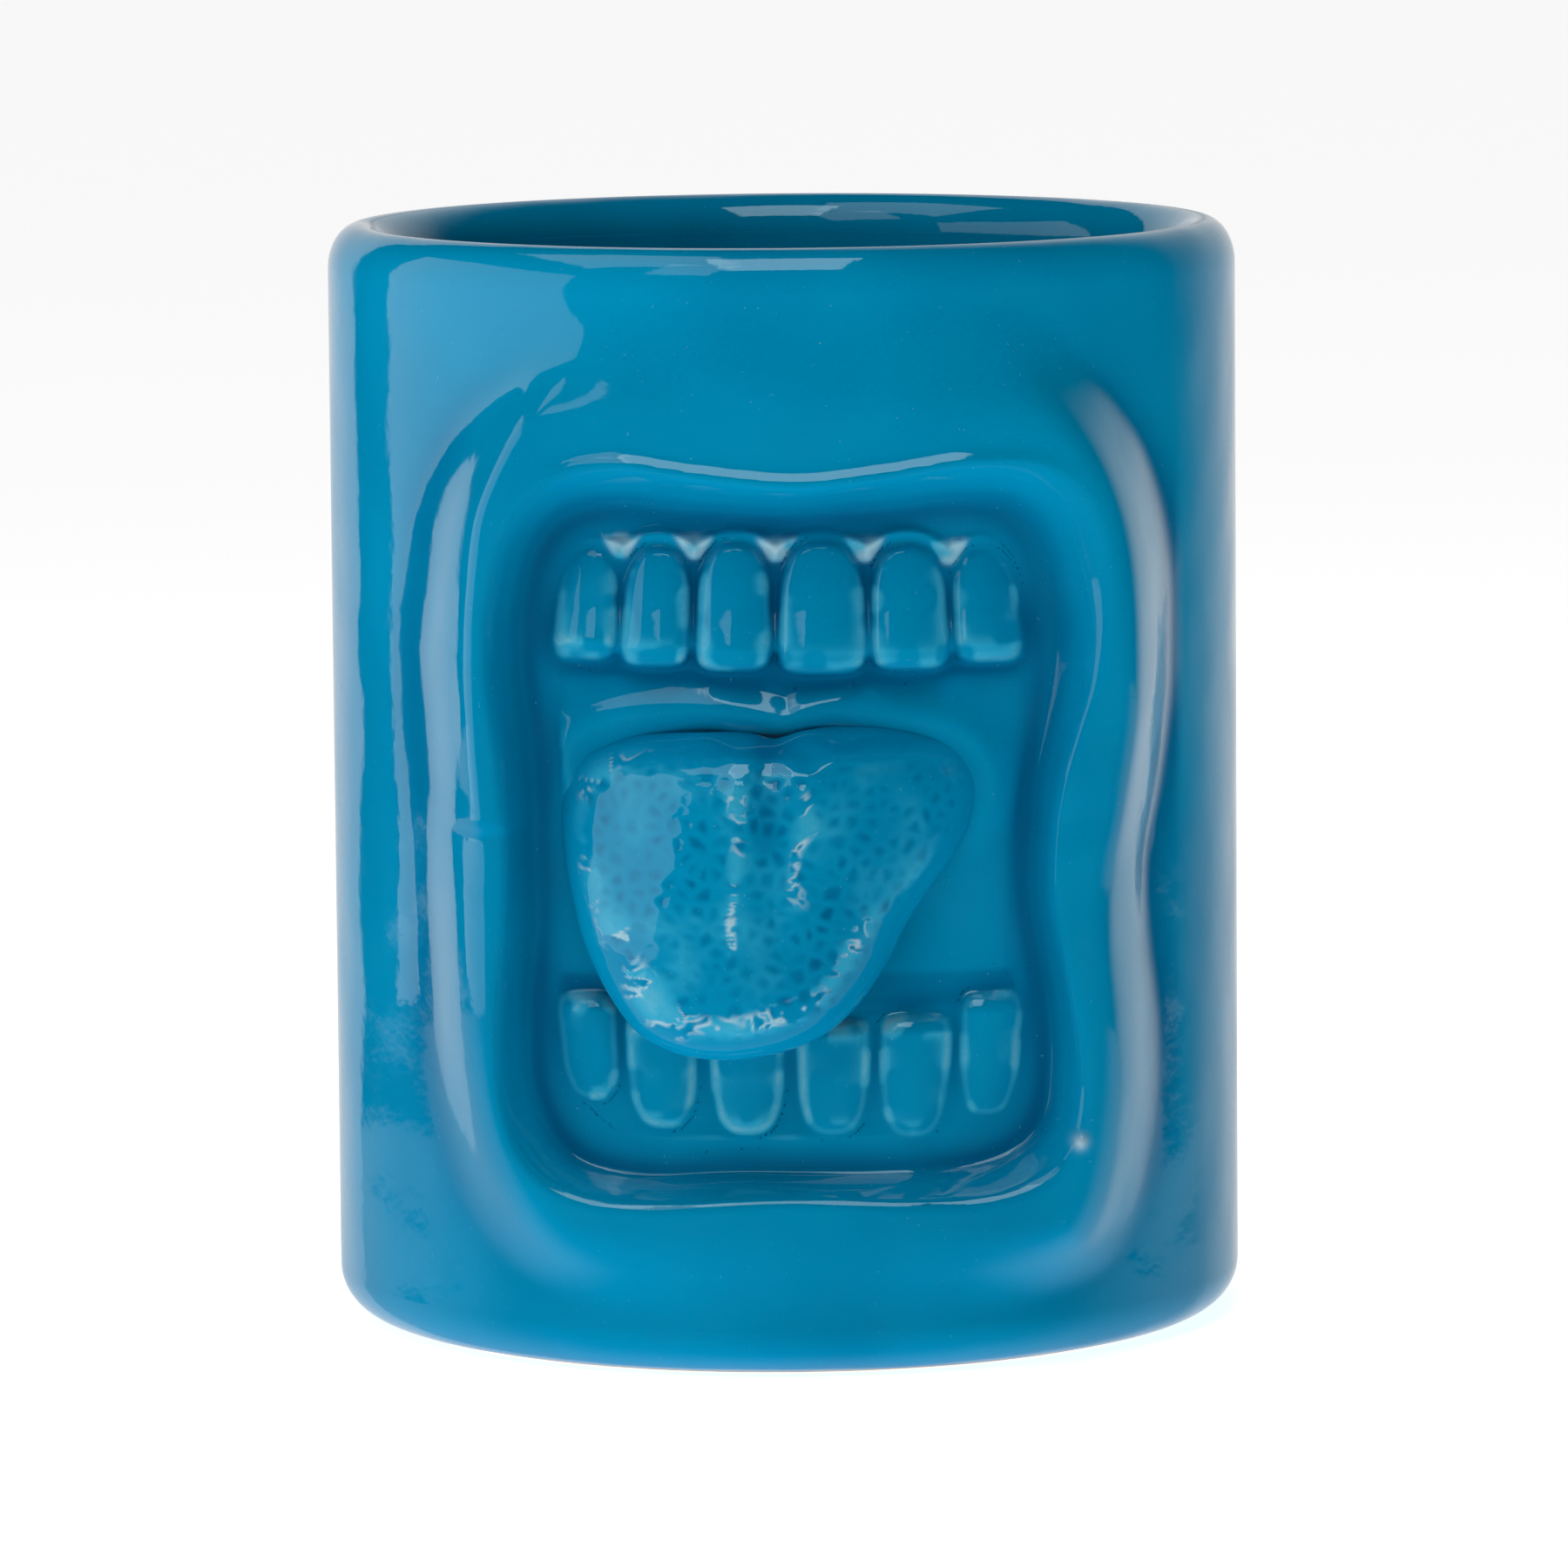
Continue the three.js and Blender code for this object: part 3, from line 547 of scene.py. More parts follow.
# The inside of the cup narrows a little towards the rolled rim.
inner_radius = INNER - ROLL * past(inner_row, ROLL_START, ROW[-1, 0] - ROLL_START)
inner_lean = np.gradient(inner_radius, axis=0) / np.gradient(inner_row, axis=0)
inner_x, inner_depth = inner_radius * np.sin(PHI), inner_radius * np.cos(PHI)
inner_points = np.stack([inner_x, -(inner_depth + sample(bulge, GX, inner_row)), inner_row], -1)
bulge_x = sample(np.gradient(bulge, STEP, axis=1), GX, inner_row) * R / INNER
bulge_z = sample(np.gradient(bulge, STEP, axis=0), GX, inner_row)
inner_normals = unit(np.stack(
    [-inner_x / inner_depth + bulge_x, np.ones_like(GX), bulge_z + inner_lean / np.cos(PHI)], -1
))

# Which piece each cell of the grid belongs to.
cell_x = (GX[:-1, :-1] + GX[:-1, 1:]) / 2
cell_z = (ROW[:-1, :-1] + ROW[1:, :-1]) / 2
cell_angle = np.arctan2(cell_z - CENTRE_Z, cell_x - CENTRE_X)
cell_radius = np.hypot(cell_x - CENTRE_X, cell_z - CENTRE_Z)
names = ["mug_wall", "upper_lip", "lower_lip", "mouth_cavity", "upper_gum", "lower_gum"]
FIRST_TOOTH, FIRST_LOWER_TOOTH = len(names), len(names) + len(UPPER_TEETH)
labels = np.zeros(cell_x.shape, int)
lip_limits = (cell_z > LIP_LOW) & (cell_z < LIP_HIGH) & (np.abs(cell_x) < LIP_SIDE)
labels[(cell_radius < foot_at(cell_angle) + 0.25) & lip_limits] = 1
labels[(labels == 1) & (cell_z < CORNER_Z)] = 2
labels[cell_radius < moat_at(cell_angle)] = 3
inner_cells = labels == 3
labels[inner_cells & (sample(d_upper, cell_x, cell_z) > 0)] = 4
labels[inner_cells & (sample(d_lower, cell_x, cell_z) > 0)] = 5
for prefix, parts in (("upper_tooth_", upper_parts), ("lower_tooth_", lower_parts)):
    for k, (_, d) in enumerate(parts, 1):
        labels[inner_cells & (sample(d, cell_x, cell_z) > -0.1)] = len(names)
        names.append(prefix + str(k))
# No piece touches itself only corner to corner. These four are views of the labels, so writing to them changes it.
a, b, c, d = labels[:-1, :-1], labels[:-1, 1:], labels[1:, :-1], labels[1:, 1:]
for _ in range(4):
    crossed = (a == d) & (b != a) & (c != a)
    b[crossed] = a[crossed]
    crossed = (b == c) & (a != b) & (d != b)
    a[crossed] = b[crossed]


# ---------------------------------------------------------------- closed meshes
def new_object(name, data):
    made = bpy.data.objects.new(name, data)
    bpy.context.scene.collection.objects.link(made)
    return made


class Shell:
    """Collects the points and faces of one closed piece, in millimetres."""

    def __init__(self):
        self.points, self.normals, self.values, self.faces = [], [], [], []
        self.count = 0

    def add(self, points, normals, values=None):
        points = np.asarray(points, float).reshape(-1, 3)
        normals = np.zeros_like(points) if normals is None else np.asarray(normals, float).reshape(-1, 3)
        values = np.zeros_like(points) if values is None else np.asarray(values, float).reshape(-1, 3)
        self.points.append(points)
        self.normals.append(normals)
        self.values.append(values)
        start = self.count
        self.count += len(points)
        return np.arange(start, self.count)

    def add_grid(self, used, points, normals, values=None):
        """Adds the used points of the grid; gives back their numbers, and -1 elsewhere."""
        index = np.full(used.shape, -1)
        index[used] = self.add(*(None if field is None else field[used] for field in (points, normals, values)))
        return index

    def face(self, corners, flat=False):
        """Faces with the same number of corners, one to a row; flat ones lie hidden and take no set normals."""
        corners = np.asarray(corners, int)
        self.faces.append((corners.reshape(-1, corners.shape[-1]), flat))

    def build(self, name, material):
        points = np.concatenate(self.points) * METRE
        normals, values = np.concatenate(self.normals), np.concatenate(self.values)
        loops = np.concatenate([f.ravel() for f, _ in self.faces])
        totals = np.concatenate([np.full(len(f), f.shape[1]) for f, _ in self.faces])
        hidden = np.concatenate([np.full(f.size, flat) for f, flat in self.faces])
        starts = np.concatenate([[0], np.cumsum(totals)[:-1]])
        mesh = bpy.data.meshes.new(name)
        mesh.vertices.add(len(points))
        mesh.vertices.foreach_set("co", points.astype(np.float32).ravel())
        mesh.loops.add(len(loops))
        mesh.loops.foreach_set("vertex_index", loops.astype(np.int32))
        mesh.polygons.add(len(totals))
        mesh.polygons.foreach_set("loop_start", starts.astype(np.int32))
        mesh.update(calc_edges=True)
        mesh.shade_smooth()
        loop_normals = normals[loops]
        loop_normals[hidden] = 0
        if np.any(loop_normals):
            mesh.normals_split_custom_set(loop_normals.astype(np.float32))
        for k, label in enumerate(("edge", "pool_and_shade", "white_and_highlight")):
            attribute = mesh.attributes.new(label, "FLOAT", "POINT")
            attribute.data.foreach_set("value", values[:, k].astype(np.float32))
        mesh.materials.append(material)
        return new_object(name + "_skin", mesh)


def corners_used(cells):
    used = np.zeros((cells.shape[0] + 1, cells.shape[1] + 1), bool)
    for di in (0, 1):
        for dj in (0, 1):
            used[di : di + cells.shape[0], dj : dj + cells.shape[1]] |= cells
    return used


def skin_faces(shell, cells, index, flip=False, flat=False):
    i, j = np.nonzero(cells)
    quad = np.stack([index[i, j], index[i, j + 1], index[i + 1, j + 1], index[i + 1, j]], -1)
    shell.face(quad[:, ::-1] if flip else quad, flat)


def side_faces(shell, cells, near, far, outside):
    """Walls between the front and the back along the border of the cells."""
    padded = np.pad(cells, 1, constant_values=outside)
    here = padded[1:-1, 1:-1]
    steps = {
        (0, 1): ((1, 1), (0, 1)),
        (0, -1): ((0, 0), (1, 0)),
        (1, 0): ((1, 0), (1, 1)),
        (-1, 0): ((0, 1), (0, 0)),
    }
    for (di, dj), ((ai, aj), (bi, bj)) in steps.items():
        beyond = padded[1 + di : padded.shape[0] - 1 + di, 1 + dj : padded.shape[1] - 1 + dj]
        i, j = np.nonzero(here & ~beyond)
        a, b = (i + ai, j + aj), (i + bi, j + bj)
        shell.face(np.stack([near[a], near[b], far[b], far[a]], -1), flat=True)


def sheet_under(lower_by, floor_level):
    """A hidden surface below the relief, clear of what lies on it."""
    h = np.minimum(front_h - lower_by, floor_level)
    return np.stack([GX, -(front_depth + h), ROW], -1)


def layered(name, own, under, hidden_front, back, material, back_normals=None):
    """A closed piece of the relief: its own cells in sight, and cells that run on under its neighbours."""
    cells = own | under
    used, seen = corners_used(cells), corners_used(own)[..., None]
    shell = Shell()
    near = shell.add_grid(
        used, np.where(seen, front_points, hidden_front), np.where(seen, front_normals, 0), front_values
    )
    far = shell.add_grid(used, back, back_normals)
    skin_faces(shell, own, near)
    skin_faces(shell, under, near, flat=True)
    skin_faces(shell, cells, far, flip=True, flat=back_normals is None)
    side_faces(shell, cells, near, far, outside=False)
    return shell.build(name, material)


def join_rings(shell, rings, outward=True):
    """Faces from each ring up to the next."""
    for a, b in zip(rings[:-1], rings[1:]):
        quad = np.stack([a, np.roll(a, -1), np.roll(b, -1), b], -1)
        shell.face(quad if outward else quad[:, ::-1])


def cap(shell, ring, centre, upward=True):
    """Faces from a ring to a point in its middle."""
    a, b = (ring, np.roll(ring, -1)) if upward else (np.roll(ring, -1), ring)
    shell.face(np.stack([a, b, np.full_like(ring, centre)], -1))


def profile_rings(shell, profile, angles):
    """Rings of a turned profile of [radius, height, normal out, normal up]."""
    rings = []
    for r, z, nr, nz in profile:
        s, c = np.sin(angles), np.cos(angles)
        points = np.stack([r * s, -r * c, np.full_like(s, z)], -1)
        normals = np.stack([nr * s, -nr * c, np.full_like(s, nz)], -1)
        rings.append(shell.add(points, normals))
    return rings


def arc_profile(cr, cz, ar, az, start, end, count):
    """An elliptical arc, with its outward normals; angles in degrees from straight out."""
    out = []
    for t in np.radians(np.linspace(start, end, count)):
        nr, nz = math.cos(t) / ar, math.sin(t) / az
        n = math.hypot(nr, nz)
        out.append((cr + ar * math.cos(t), cz + az * math.sin(t), nr / n, nz / n))
    return out


def build_wall(material):
    """The cup wall: a fine patch round the mouth, coarse panels behind, a turned rim and a turned base edge."""
    shell = Shell()
    cells = labels == 0
    used = corners_used(cells)
    used[:, [0, -1]] = used[[0, -1], :] = True
    near = shell.add_grid(used, front_points, front_normals, front_values)
    far = shell.add_grid(used, inner_points, inner_normals)
    skin_faces(shell, cells, near)
    skin_faces(shell, cells, far, flip=True)
    side_faces(shell, cells, near, far, outside=True)

    # The panels behind take every tenth row, and join the patch in faces with many corners.
    kept = np.unique(np.concatenate([np.arange(0, len(rows), 10), [len(rows) - 1]]))
    s, c = np.sin(coarse), np.cos(coarse)
    outer = (np.full(len(kept), R), np.zeros(len(kept)), rows[kept], 1, near)
    inner = (inner_radius[kept, 0], inner_lean[kept, 0], inner_row[kept, 0], -1, far)
    bottoms, tops = [], []
    for radii, leans, heights, sign, edge in (outer, inner):
        block = np.empty((len(kept), len(coarse)), int)
        for k, (z, ring_r, lean) in enumerate(zip(heights, radii, leans)):
            ring = np.stack([ring_r * s, -ring_r * c, np.full_like(s, z)], -1)
            block[k] = shell.add(ring, np.stack([sign * s, -sign * c, -sign * lean + 0 * s], -1))
        skin_faces(shell, np.ones((len(kept) - 1, len(coarse) - 1), bool), block, flip=sign < 0)
        for k in range(len(kept) - 1):
            run = np.arange(kept[k], kept[k + 1] + 1)
            right = list(edge[run[::-1], -1]) + [block[k, 0], block[k + 1, 0]]
            left = list(edge[run, 0]) + [block[k + 1, -1], block[k, -1]]
            for polygon in (right, left):
                shell.face([polygon if sign > 0 else polygon[::-1]])
        bottoms.append(np.concatenate([edge[0], block[0]]))
        tops.append(np.concatenate([edge[-1], block[-1]]))

    rim = arc_profile(R - RIM_OUT, TOP - RIM_DROP, RIM_OUT, RIM_DROP, 0, 90, 15)
    rim += arc_profile(R - RIM_OUT, TOP - RIM_DROP_INSIDE, WALL + ROLL - RIM_OUT, RIM_DROP_INSIDE, 90, 180, 15)[1:]
    join_rings(shell, [tops[0]] + profile_rings(shell, rim, ring_angles) + [tops[1]])
    base = arc_profile(R - BASE_ROUND, BASE_ROUND, BASE_ROUND, BASE_ROUND - BASE_LIFT, 0, -BASE_TURN, 16)
    lip_r = base[-1][0]
    base += [(lip_r - 0.15, 0.2, 0, -1), (lip_r - 0.3, 0.35, -1, 0), (lip_r - 0.4, FOOT, 0, -1)]
    hole_r = FLOOR_R + 0.05
    base += [(hole_r, FOOT, 0, -1), (hole_r, FOOT, -1, 0), (hole_r, FLOOR_TOP, -1, 0)]
    fillet = arc_profile(FLOOR_R, FLOOR_TOP + FILLET, INNER - FLOOR_R, FILLET, -90, 0, 10)
    base += [(r, z, -nr, -nz) for r, z, nr, nz in fillet]
    join_rings(shell, [bottoms[0]] + profile_rings(shell, base, ring_angles) + [bottoms[1]], outward=False)
    return shell.build("mug_wall", material)


def build_turned(name, profile, material, count=144):
    """A closed turned solid whose profile starts and ends on the axis."""
    shell = Shell()
    angles = np.linspace(-math.pi, math.pi, count, endpoint=False)
    bottom = shell.add([[0, 0, profile[0][1]]], [[0, 0, -1]])[0]
    rings = profile_rings(shell, profile[1:-1], angles)
    top = shell.add([[0, 0, profile[-1][1]]], [[0, 0, 1]])[0]
    cap(shell, rings[0], bottom, upward=False)
    join_rings(shell, rings)
    cap(shell, rings[-1], top)
    return shell.build(name, material)


# ---------------------------------------------------------------- the tongue
TONGUE_X, TONGUE_Z = -1.8, 45.5
# Its face bulges out round this height, bends sideways in an arc, then runs straight on; its root sinks into the panel.
TONGUE_FRONT, TONGUE_FRONT_Z, FALL_ABOVE, FALL_BELOW = 47, 38.5, 0.0085, 0.0235
TONGUE_ROUND, TONGUE_BEND, BEND_SHARE = 16.0, 9.5, 0.9
TONGUE_AXIS = [(30, -5.2), (35, -4.6), (40, -4.2), (45, -3.3), (50, -1.9), (55, -1.2), (60, -1.0)]
ROOT_DEPTH, ROOT_Z, ROOT_FADE = 3.6, 56.8, 3.9
HALF_FRONT, HALF_BACK, FULL_FRONT, FULL_BACK = 3.5, 3.4, 4.4, 2.6


def tongue_middle(x, z):
    """How far in front of the axis the middle of the tongue lies."""
    root = np.sqrt(R * R - x * x) - ROOT_DEPTH
    out = TONGUE_FRONT - np.where(z > TONGUE_FRONT_Z, FALL_ABOVE, FALL_BELOW) * (z - TONGUE_FRONT_Z) ** 2
    off = np.abs(x - between_stops(z, TONGUE_AXIS))
    bent = np.minimum(off, TONGUE_BEND)
    drop = np.sqrt(TONGUE_ROUND**2 - bent**2)
    side = TONGUE_ROUND - drop + (off - bent) * bent / drop
    ragged_z = z + 0.9 * soft_noise(x, z, 3.1, SEED + 12)
    return mix(out - BEND_SHARE * side, root, past(ragged_z, ROOT_Z, ROOT_FADE) * past(z, 55, 3))


def tongue_face(x, z, swell, inside):
    """Height and glaze colour of the front, with painted shade at its top, from its swell and the distance inside its
    outline.
    """
    patch = past(inside, 1.4, 1.6) * before(z, 58.4, 2)
    pits = scattered_dimples(x, z, 1.5, SEED) * patch
    grain = soft_noise(x, z, 2.4, SEED + 1) * 0.6 + soft_noise(x, z, 1.1, SEED + 2) * 0.4
    line = x - (TONGUE_X + 0.6 + 0.5 * np.sin(z / 5.0))
    groove = bell(line, 1.7) * past(z, 36, 8)
    crown = bell(z - 53.5, 4.0) * (1 - bell(line, 4.0))
    wrinkle = np.sin(z * 4.4 + 2.6 * soft_noise(x, z, 4.5, SEED + 11)) * past(z, 55.4, 1.2) * before(z, 60, 1.2)
    height = HALF_FRONT * swell + 0.12 * bell(inside - 3.4, 1.1) * before(z, 57, 6)
    height += -0.2 * past(inside, 2.8, 6.5) - 0.6 * groove + 0.3 * crown
    height += patch * 0.10 * grain - 0.085 * pits + 0.05 * wrinkle * swell

    # Pale net between the dimples, and white breaks where the glaze ran thin: low edge, left edge and two spines.
    clouds = soft_noise(x, z, 4.2, SEED + 3)
    bent_x, bent_z = (v + 0.7 * soft_noise(x, z, 1.9, SEED + k) for v, k in ((x, 8), (z, 9)))
    wisps = soft_noise(bent_x * 0.6, bent_z * 1.1, 1.3, SEED + 4)
    wisps = wisps + 0.55 * soft_noise(bent_x, bent_z * 1.3, 0.6, SEED + 6)
    low_edge = bell(inside - 3.9, 1.3) * before(z, 47, 8)
    left_edge = bell(inside - 2.0, 1.2) * past(-x, 7, 4)
    spine_bend = 0.9 * soft_noise(x, z, 3.0, SEED + 7)
    spine = bell(x + 4.8 + spine_bend, 0.7) + bell(x - 1.4 + spine_bend, 0.9) * past(z, 42, 3)
    thin = low_edge + 0.55 * left_edge + 0.62 * spine * past(z, 38, 3) * before(z, 56.5, 2)
    net = patch * (1 - pits) * np.clip(0.55 + 0.6 * clouds, 0.1, 1)
    edges = before(inside, 5.0, 3.5) * patch
    pale = patch * (0.004 + 0.034 * clouds + 0.03 * grain) + (0.03 + 0.045 * edges) * net
    pale += 0.12 * thin * smooth(0.55 + 0.9 * wisps)
    # Deep colour in the dimples and along the groove; over the top of the tongue, under the bead, it is partly pooled
    # glaze and partly painted shade.
    deep_and_shade = (2.2 * pits + 0.35) * patch * (0.75 - 0.25 * clouds) + 1.3 * groove * past(z, 46, 6) + past(z, 57.0, 1.8)
    veins = smooth(1 - np.abs(wisps) / 0.3)
    white = 0.62 * veins * smooth((thin * (0.8 + 0.6 * clouds) - 0.3) / 0.4)
    return height + 0.05 * white, np.stack([pale, deep_and_shade, white], -1)


def build_tongue(material, rays=432):
    angles = np.linspace(-math.pi, math.pi, rays, endpoint=False)
    reach = ray_radius(closed_curve(TONGUE, 16), TONGUE_X, TONGUE_Z)(angles)
    reach = (np.roll(reach, 1) + 2 * reach + np.roll(reach, -1)) / 4

    def skin(way_out, front):
        """Rings of points from the middle out, on the front or on the hidden back."""
        S, A = np.meshgrid(np.sin(way_out * math.pi / 2), angles, indexing="ij")
        x, z = TONGUE_X + reach[None, :] * S * np.cos(A), TONGUE_Z + reach[None, :] * S * np.sin(A)
        swell = np.sqrt(np.clip(1 - S ** (FULL_FRONT if front else FULL_BACK), 0, 1))
        height, values = tongue_face(x, z, swell, reach[None, :] * (1 - S)) if front else (-HALF_BACK * swell, None)
        return np.stack([x, -(tongue_middle(x, z) + height), z], -1), values

    shell = Shell()

    def rings(way_out, front):
        points, values = skin(way_out, front)
        return shell.add(points, None, values).reshape(points.shape[:2])

    def centre(front):
        points, values = skin(np.array([0.0]), front)
        return shell.add(points[0, 0], None, None if values is None else values[0, 0])[0]

    outer, back = rings(np.linspace(0, 1, 131)[1:], True), rings(np.linspace(0, 1, 41)[1:-1], False)
    front_centre, back_centre = centre(True), centre(False)
    join_rings(shell, outer, outward=False)
    cap(shell, outer[0], front_centre)
    join_rings(shell, list(back) + [outer[-1]])
    cap(shell, back[0], back_centre, upward=False)
    return shell.build("tongue", material)


# ---------------------------------------------------------------- materials
def material_nodes(name):
    material = bpy.data.materials.new(name)
    material.use_nodes = True
    tree = material.node_tree
    tree.nodes.clear()
    output = tree.nodes.new("ShaderNodeOutputMaterial")
    shader = tree.nodes.new("ShaderNodeBsdfPrincipled")
    tree.links.new(shader.outputs[0], output.inputs[0])
    coords = tree.nodes.new("ShaderNodeTexCoord")
    return material, tree, shader, coords.outputs["Object"]


def put(tree, socket, value):
    """Sets a socket to a number or a colour, or links an output to it."""
    if isinstance(value, bpy.types.NodeSocket):
        tree.links.new(value, socket)
    else:
        socket.default_value = value + (1,) if isinstance(value, tuple) else value


def noise(tree, coords, per_mm, detail=3.0, roughness=0.5):
    mapping = tree.nodes.new("ShaderNodeMapping")
    mapping.inputs["Scale"].default_value = [1 / METRE] * 3
    tree.links.new(coords, mapping.inputs["Vector"])
    node = tree.nodes.new("ShaderNodeTexNoise")
    values = (("Scale", per_mm), ("Detail", detail), ("Roughness", roughness), ("Vector", mapping.outputs[0]))
    for key, value in values:
        put(tree, node.inputs[key], value)
    return node.outputs["Fac"]


def math_node(tree, operation, a, b=0.0, clamp=False):
    node = tree.nodes.new("ShaderNodeMath")
    node.operation = operation
    node.use_clamp = clamp
    for socket, value in zip(node.inputs, (a, b)):
        put(tree, socket, value)
    return node.outputs[0]


def ramp(tree, value, low, high, out_low=0.0, out_high=1.0):
    node = tree.nodes.new("ShaderNodeMapRange")
    node.interpolation_type = "SMOOTHSTEP"
    tree.links.new(value, node.inputs["Value"])
    for key, number in zip(("From Min", "From Max", "To Min", "To Max"), (low, high, out_low, out_high)):
        node.inputs[key].default_value = number
    return node.outputs[0]


def blend_colour(tree, fac, a, b):
    node = tree.nodes.new("ShaderNodeMix")
    node.data_type = "RGBA"
    sockets = [s for s in node.inputs if s.type == "RGBA"]
    for socket, value in zip([node.inputs[0]] + sockets, (fac, a, b)):
        put(tree, socket, value)
    return [o for o in node.outputs if o.type == "RGBA"][0]


def bump(tree, height, distance_mm, normal=None):
    node = tree.nodes.new("ShaderNodeBump")
    node.inputs["Strength"].default_value = 1.0
    node.inputs["Distance"].default_value = distance_mm * METRE
    tree.links.new(height, node.inputs["Height"])
    if normal is not None:
        tree.links.new(normal, node.inputs["Normal"])
    return node.outputs[0]


def attribute(tree, name):
    node = tree.nodes.new("ShaderNodeAttribute")
    node.attribute_name = name
    return node.outputs["Fac"]


GLAZE_BODY = (0.0, 0.275, 0.50)
GLAZE_DEEP_AND_SHADE = (0.0, 0.125, 0.285)
GLAZE_LIGHT = (0.03, 0.40, 0.62)
GLAZE_PALE = (0.16, 0.52, 0.66)
GLAZE_WHITE_AND_HIGHLIGHT = (0.62, 0.76, 0.80)
CLAY = (0.56, 0.43, 0.29)
CLAY_DARK = tuple(c * 0.8 for c in CLAY)
CLAY_GROG = (0.36, 0.24, 0.15)


def glaze_material():
    material, tree, shader, coords = material_nodes("glaze_turquoise")
    edge, pool_and_shade, white_and_highlight = (attribute(tree, n) for n in ("edge", "pool_and_shade", "white_and_highlight"))
    drift = noise(tree, coords, 0.045, detail=2.0)
    cloud = noise(tree, coords, 0.35, detail=4.0, roughness=0.6)
    grain = noise(tree, coords, 1.6, detail=3.0, roughness=0.65)
    speck = noise(tree, coords, 2.6, detail=1.0)
    # Deep where the glaze pools and where shade is painted in, with a slow drift over the whole cup.
    pooled_and_shaded, drifted = ramp(tree, pool_and_shade, 0.15, 2.6, 0.0, 0.9), ramp(tree, drift, 0.35, 0.7, 0.0, 0.22)
    deep_and_shade = math_node(tree, "ADD", pooled_and_shaded, drifted, clamp=True)
    colour = blend_colour(tree, deep_and_shade, GLAZE_BODY, GLAZE_DEEP_AND_SHADE)
    # Lighter, then pale and broken, where it runs thin over an edge; on the points of gum part of this is a painted
    # highlight.
    colour = blend_colour(tree, ramp(tree, edge, 0.02, 0.12, 0.0, 0.9), colour, GLAZE_LIGHT)
    ragged = math_node(tree, "MULTIPLY", math_node(tree, "SUBTRACT", grain, 0.5), 0.10)
    broken = ramp(tree, math_node(tree, "ADD", edge, ragged), 0.09, 0.24)
    pale = math_node(tree, "MULTIPLY", broken, ramp(tree, cloud, 0.36, 0.60, 0.35, 1.0))
    colour = blend_colour(tree, math_node(tree, "MULTIPLY", pale, 0.75), colour, GLAZE_PALE)
    dust = math_node(tree, "MULTIPLY", ramp(tree, speck, 0.74, 0.80), 0.25)
    colour = blend_colour(tree, dust, colour, GLAZE_PALE)
    # White for the pimple and the thin glaze on the tongue, and a painted highlight on the points of gum.
    colour = blend_colour(tree, math_node(tree, "MINIMUM", white_and_highlight, 1.0), colour, GLAZE_WHITE_AND_HIGHLIGHT)
    tree.links.new(colour, shader.inputs["Base Color"])
    tree.links.new(ramp(tree, cloud, 0.3, 0.8, 0.035, 0.085), shader.inputs["Roughness"])
    shader.inputs["IOR"].default_value = 1.52
    shader.inputs["Specular Tint"].default_value = (0.72, 0.95, 1.0, 1)
    wavy = bump(tree, noise(tree, coords, 0.07, detail=1.0), 0.5)
    rippled = bump(tree, noise(tree, coords, 0.5, detail=2.0), 0.018, normal=wavy)
    tree.links.new(bump(tree, grain, 0.0025, normal=rippled), shader.inputs["Normal"])
    return material


def clay_material():
    material, tree, shader, coords = material_nodes("bare_clay_tan")
    cloud = noise(tree, coords, 0.25, detail=4.0)
    grain = noise(tree, coords, 4.0, detail=4.0, roughness=0.7)
    colour = blend_colour(tree, ramp(tree, cloud, 0.3, 0.7), CLAY, CLAY_DARK)
    colour = blend_colour(tree, ramp(tree, grain, 0.55, 0.75, 0.0, 0.5), colour, CLAY_GROG)
    tree.links.new(colour, shader.inputs["Base Color"])
    tree.links.new(ramp(tree, grain, 0.2, 0.8, 0.72, 0.92), shader.inputs["Roughness"])
    tree.links.new(bump(tree, grain, 0.05), shader.inputs["Normal"])
    return material


def paper_material(name, glow):
    material, tree, shader, coords = material_nodes(name)
    fibre = noise(tree, coords, 0.8, detail=4.0)
    colour = blend_colour(tree, fibre, (0.93, 0.93, 0.93), (0.97, 0.97, 0.97))
    tree.links.new(colour, shader.inputs["Base Color"])
    tree.links.new(ramp(tree, fibre, 0.3, 0.7, 0.85, 0.95), shader.inputs["Roughness"])
    tree.links.new(bump(tree, fibre, 0.01), shader.inputs["Normal"])
    shader.inputs["Specular IOR Level"].default_value = 0.2
    shader.inputs["Emission Color"].default_value = (1, 1, 1, 1)
    shader.inputs["Emission Strength"].default_value = glow
    return material


glaze, clay = glaze_material(), clay_material()
paper, backdrop_paper = paper_material("white_paper", 0.85), paper_material("backdrop_paper", 0.93)

# ---------------------------------------------------------------- the pieces
nothing = np.zeros(labels.shape, bool)
tooth_cells = labels >= FIRST_TOOTH
upper_teeth, lower_teeth = tooth_cells & (labels < FIRST_LOWER_TOOTH), labels >= FIRST_LOWER_TOOTH
gums_and_teeth = (labels == 4) | (labels == 5) | tooth_cells
# Under the gums and teeth each layer keeps clear of the one on it; the tooth level is a little deeper.
TOOTH_LEVEL = -5.8
under_gums, gum_back = sheet_under(0.9, MOUTH_LEVEL - 0.7), sheet_under(0.6, MOUTH_LEVEL - 0.4)
under_teeth, tooth_back = sheet_under(0.8, TOOTH_LEVEL), sheet_under(0.5, TOOTH_LEVEL + 0.3)
pieces = {"mug_wall": build_wall(glaze)}
for k, own_under in ((1, nothing), (2, nothing), (3, gums_and_teeth)):
    hidden = under_gums if k == 3 else front_points
    pieces[names[k]] = layered(names[k], labels == k, own_under, hidden, inner_points, glaze, inner_normals)
for k, own_teeth in ((4, upper_teeth), (5, lower_teeth)):
    pieces[names[k]] = layered(names[k], labels == k, own_teeth, under_teeth, gum_back, glaze)
for k in range(FIRST_TOOTH, len(names)):
    pieces[names[k]] = layered(names[k], labels == k, nothing, front_points, tooth_back, glaze)
pieces["tongue"] = build_tongue(glaze)
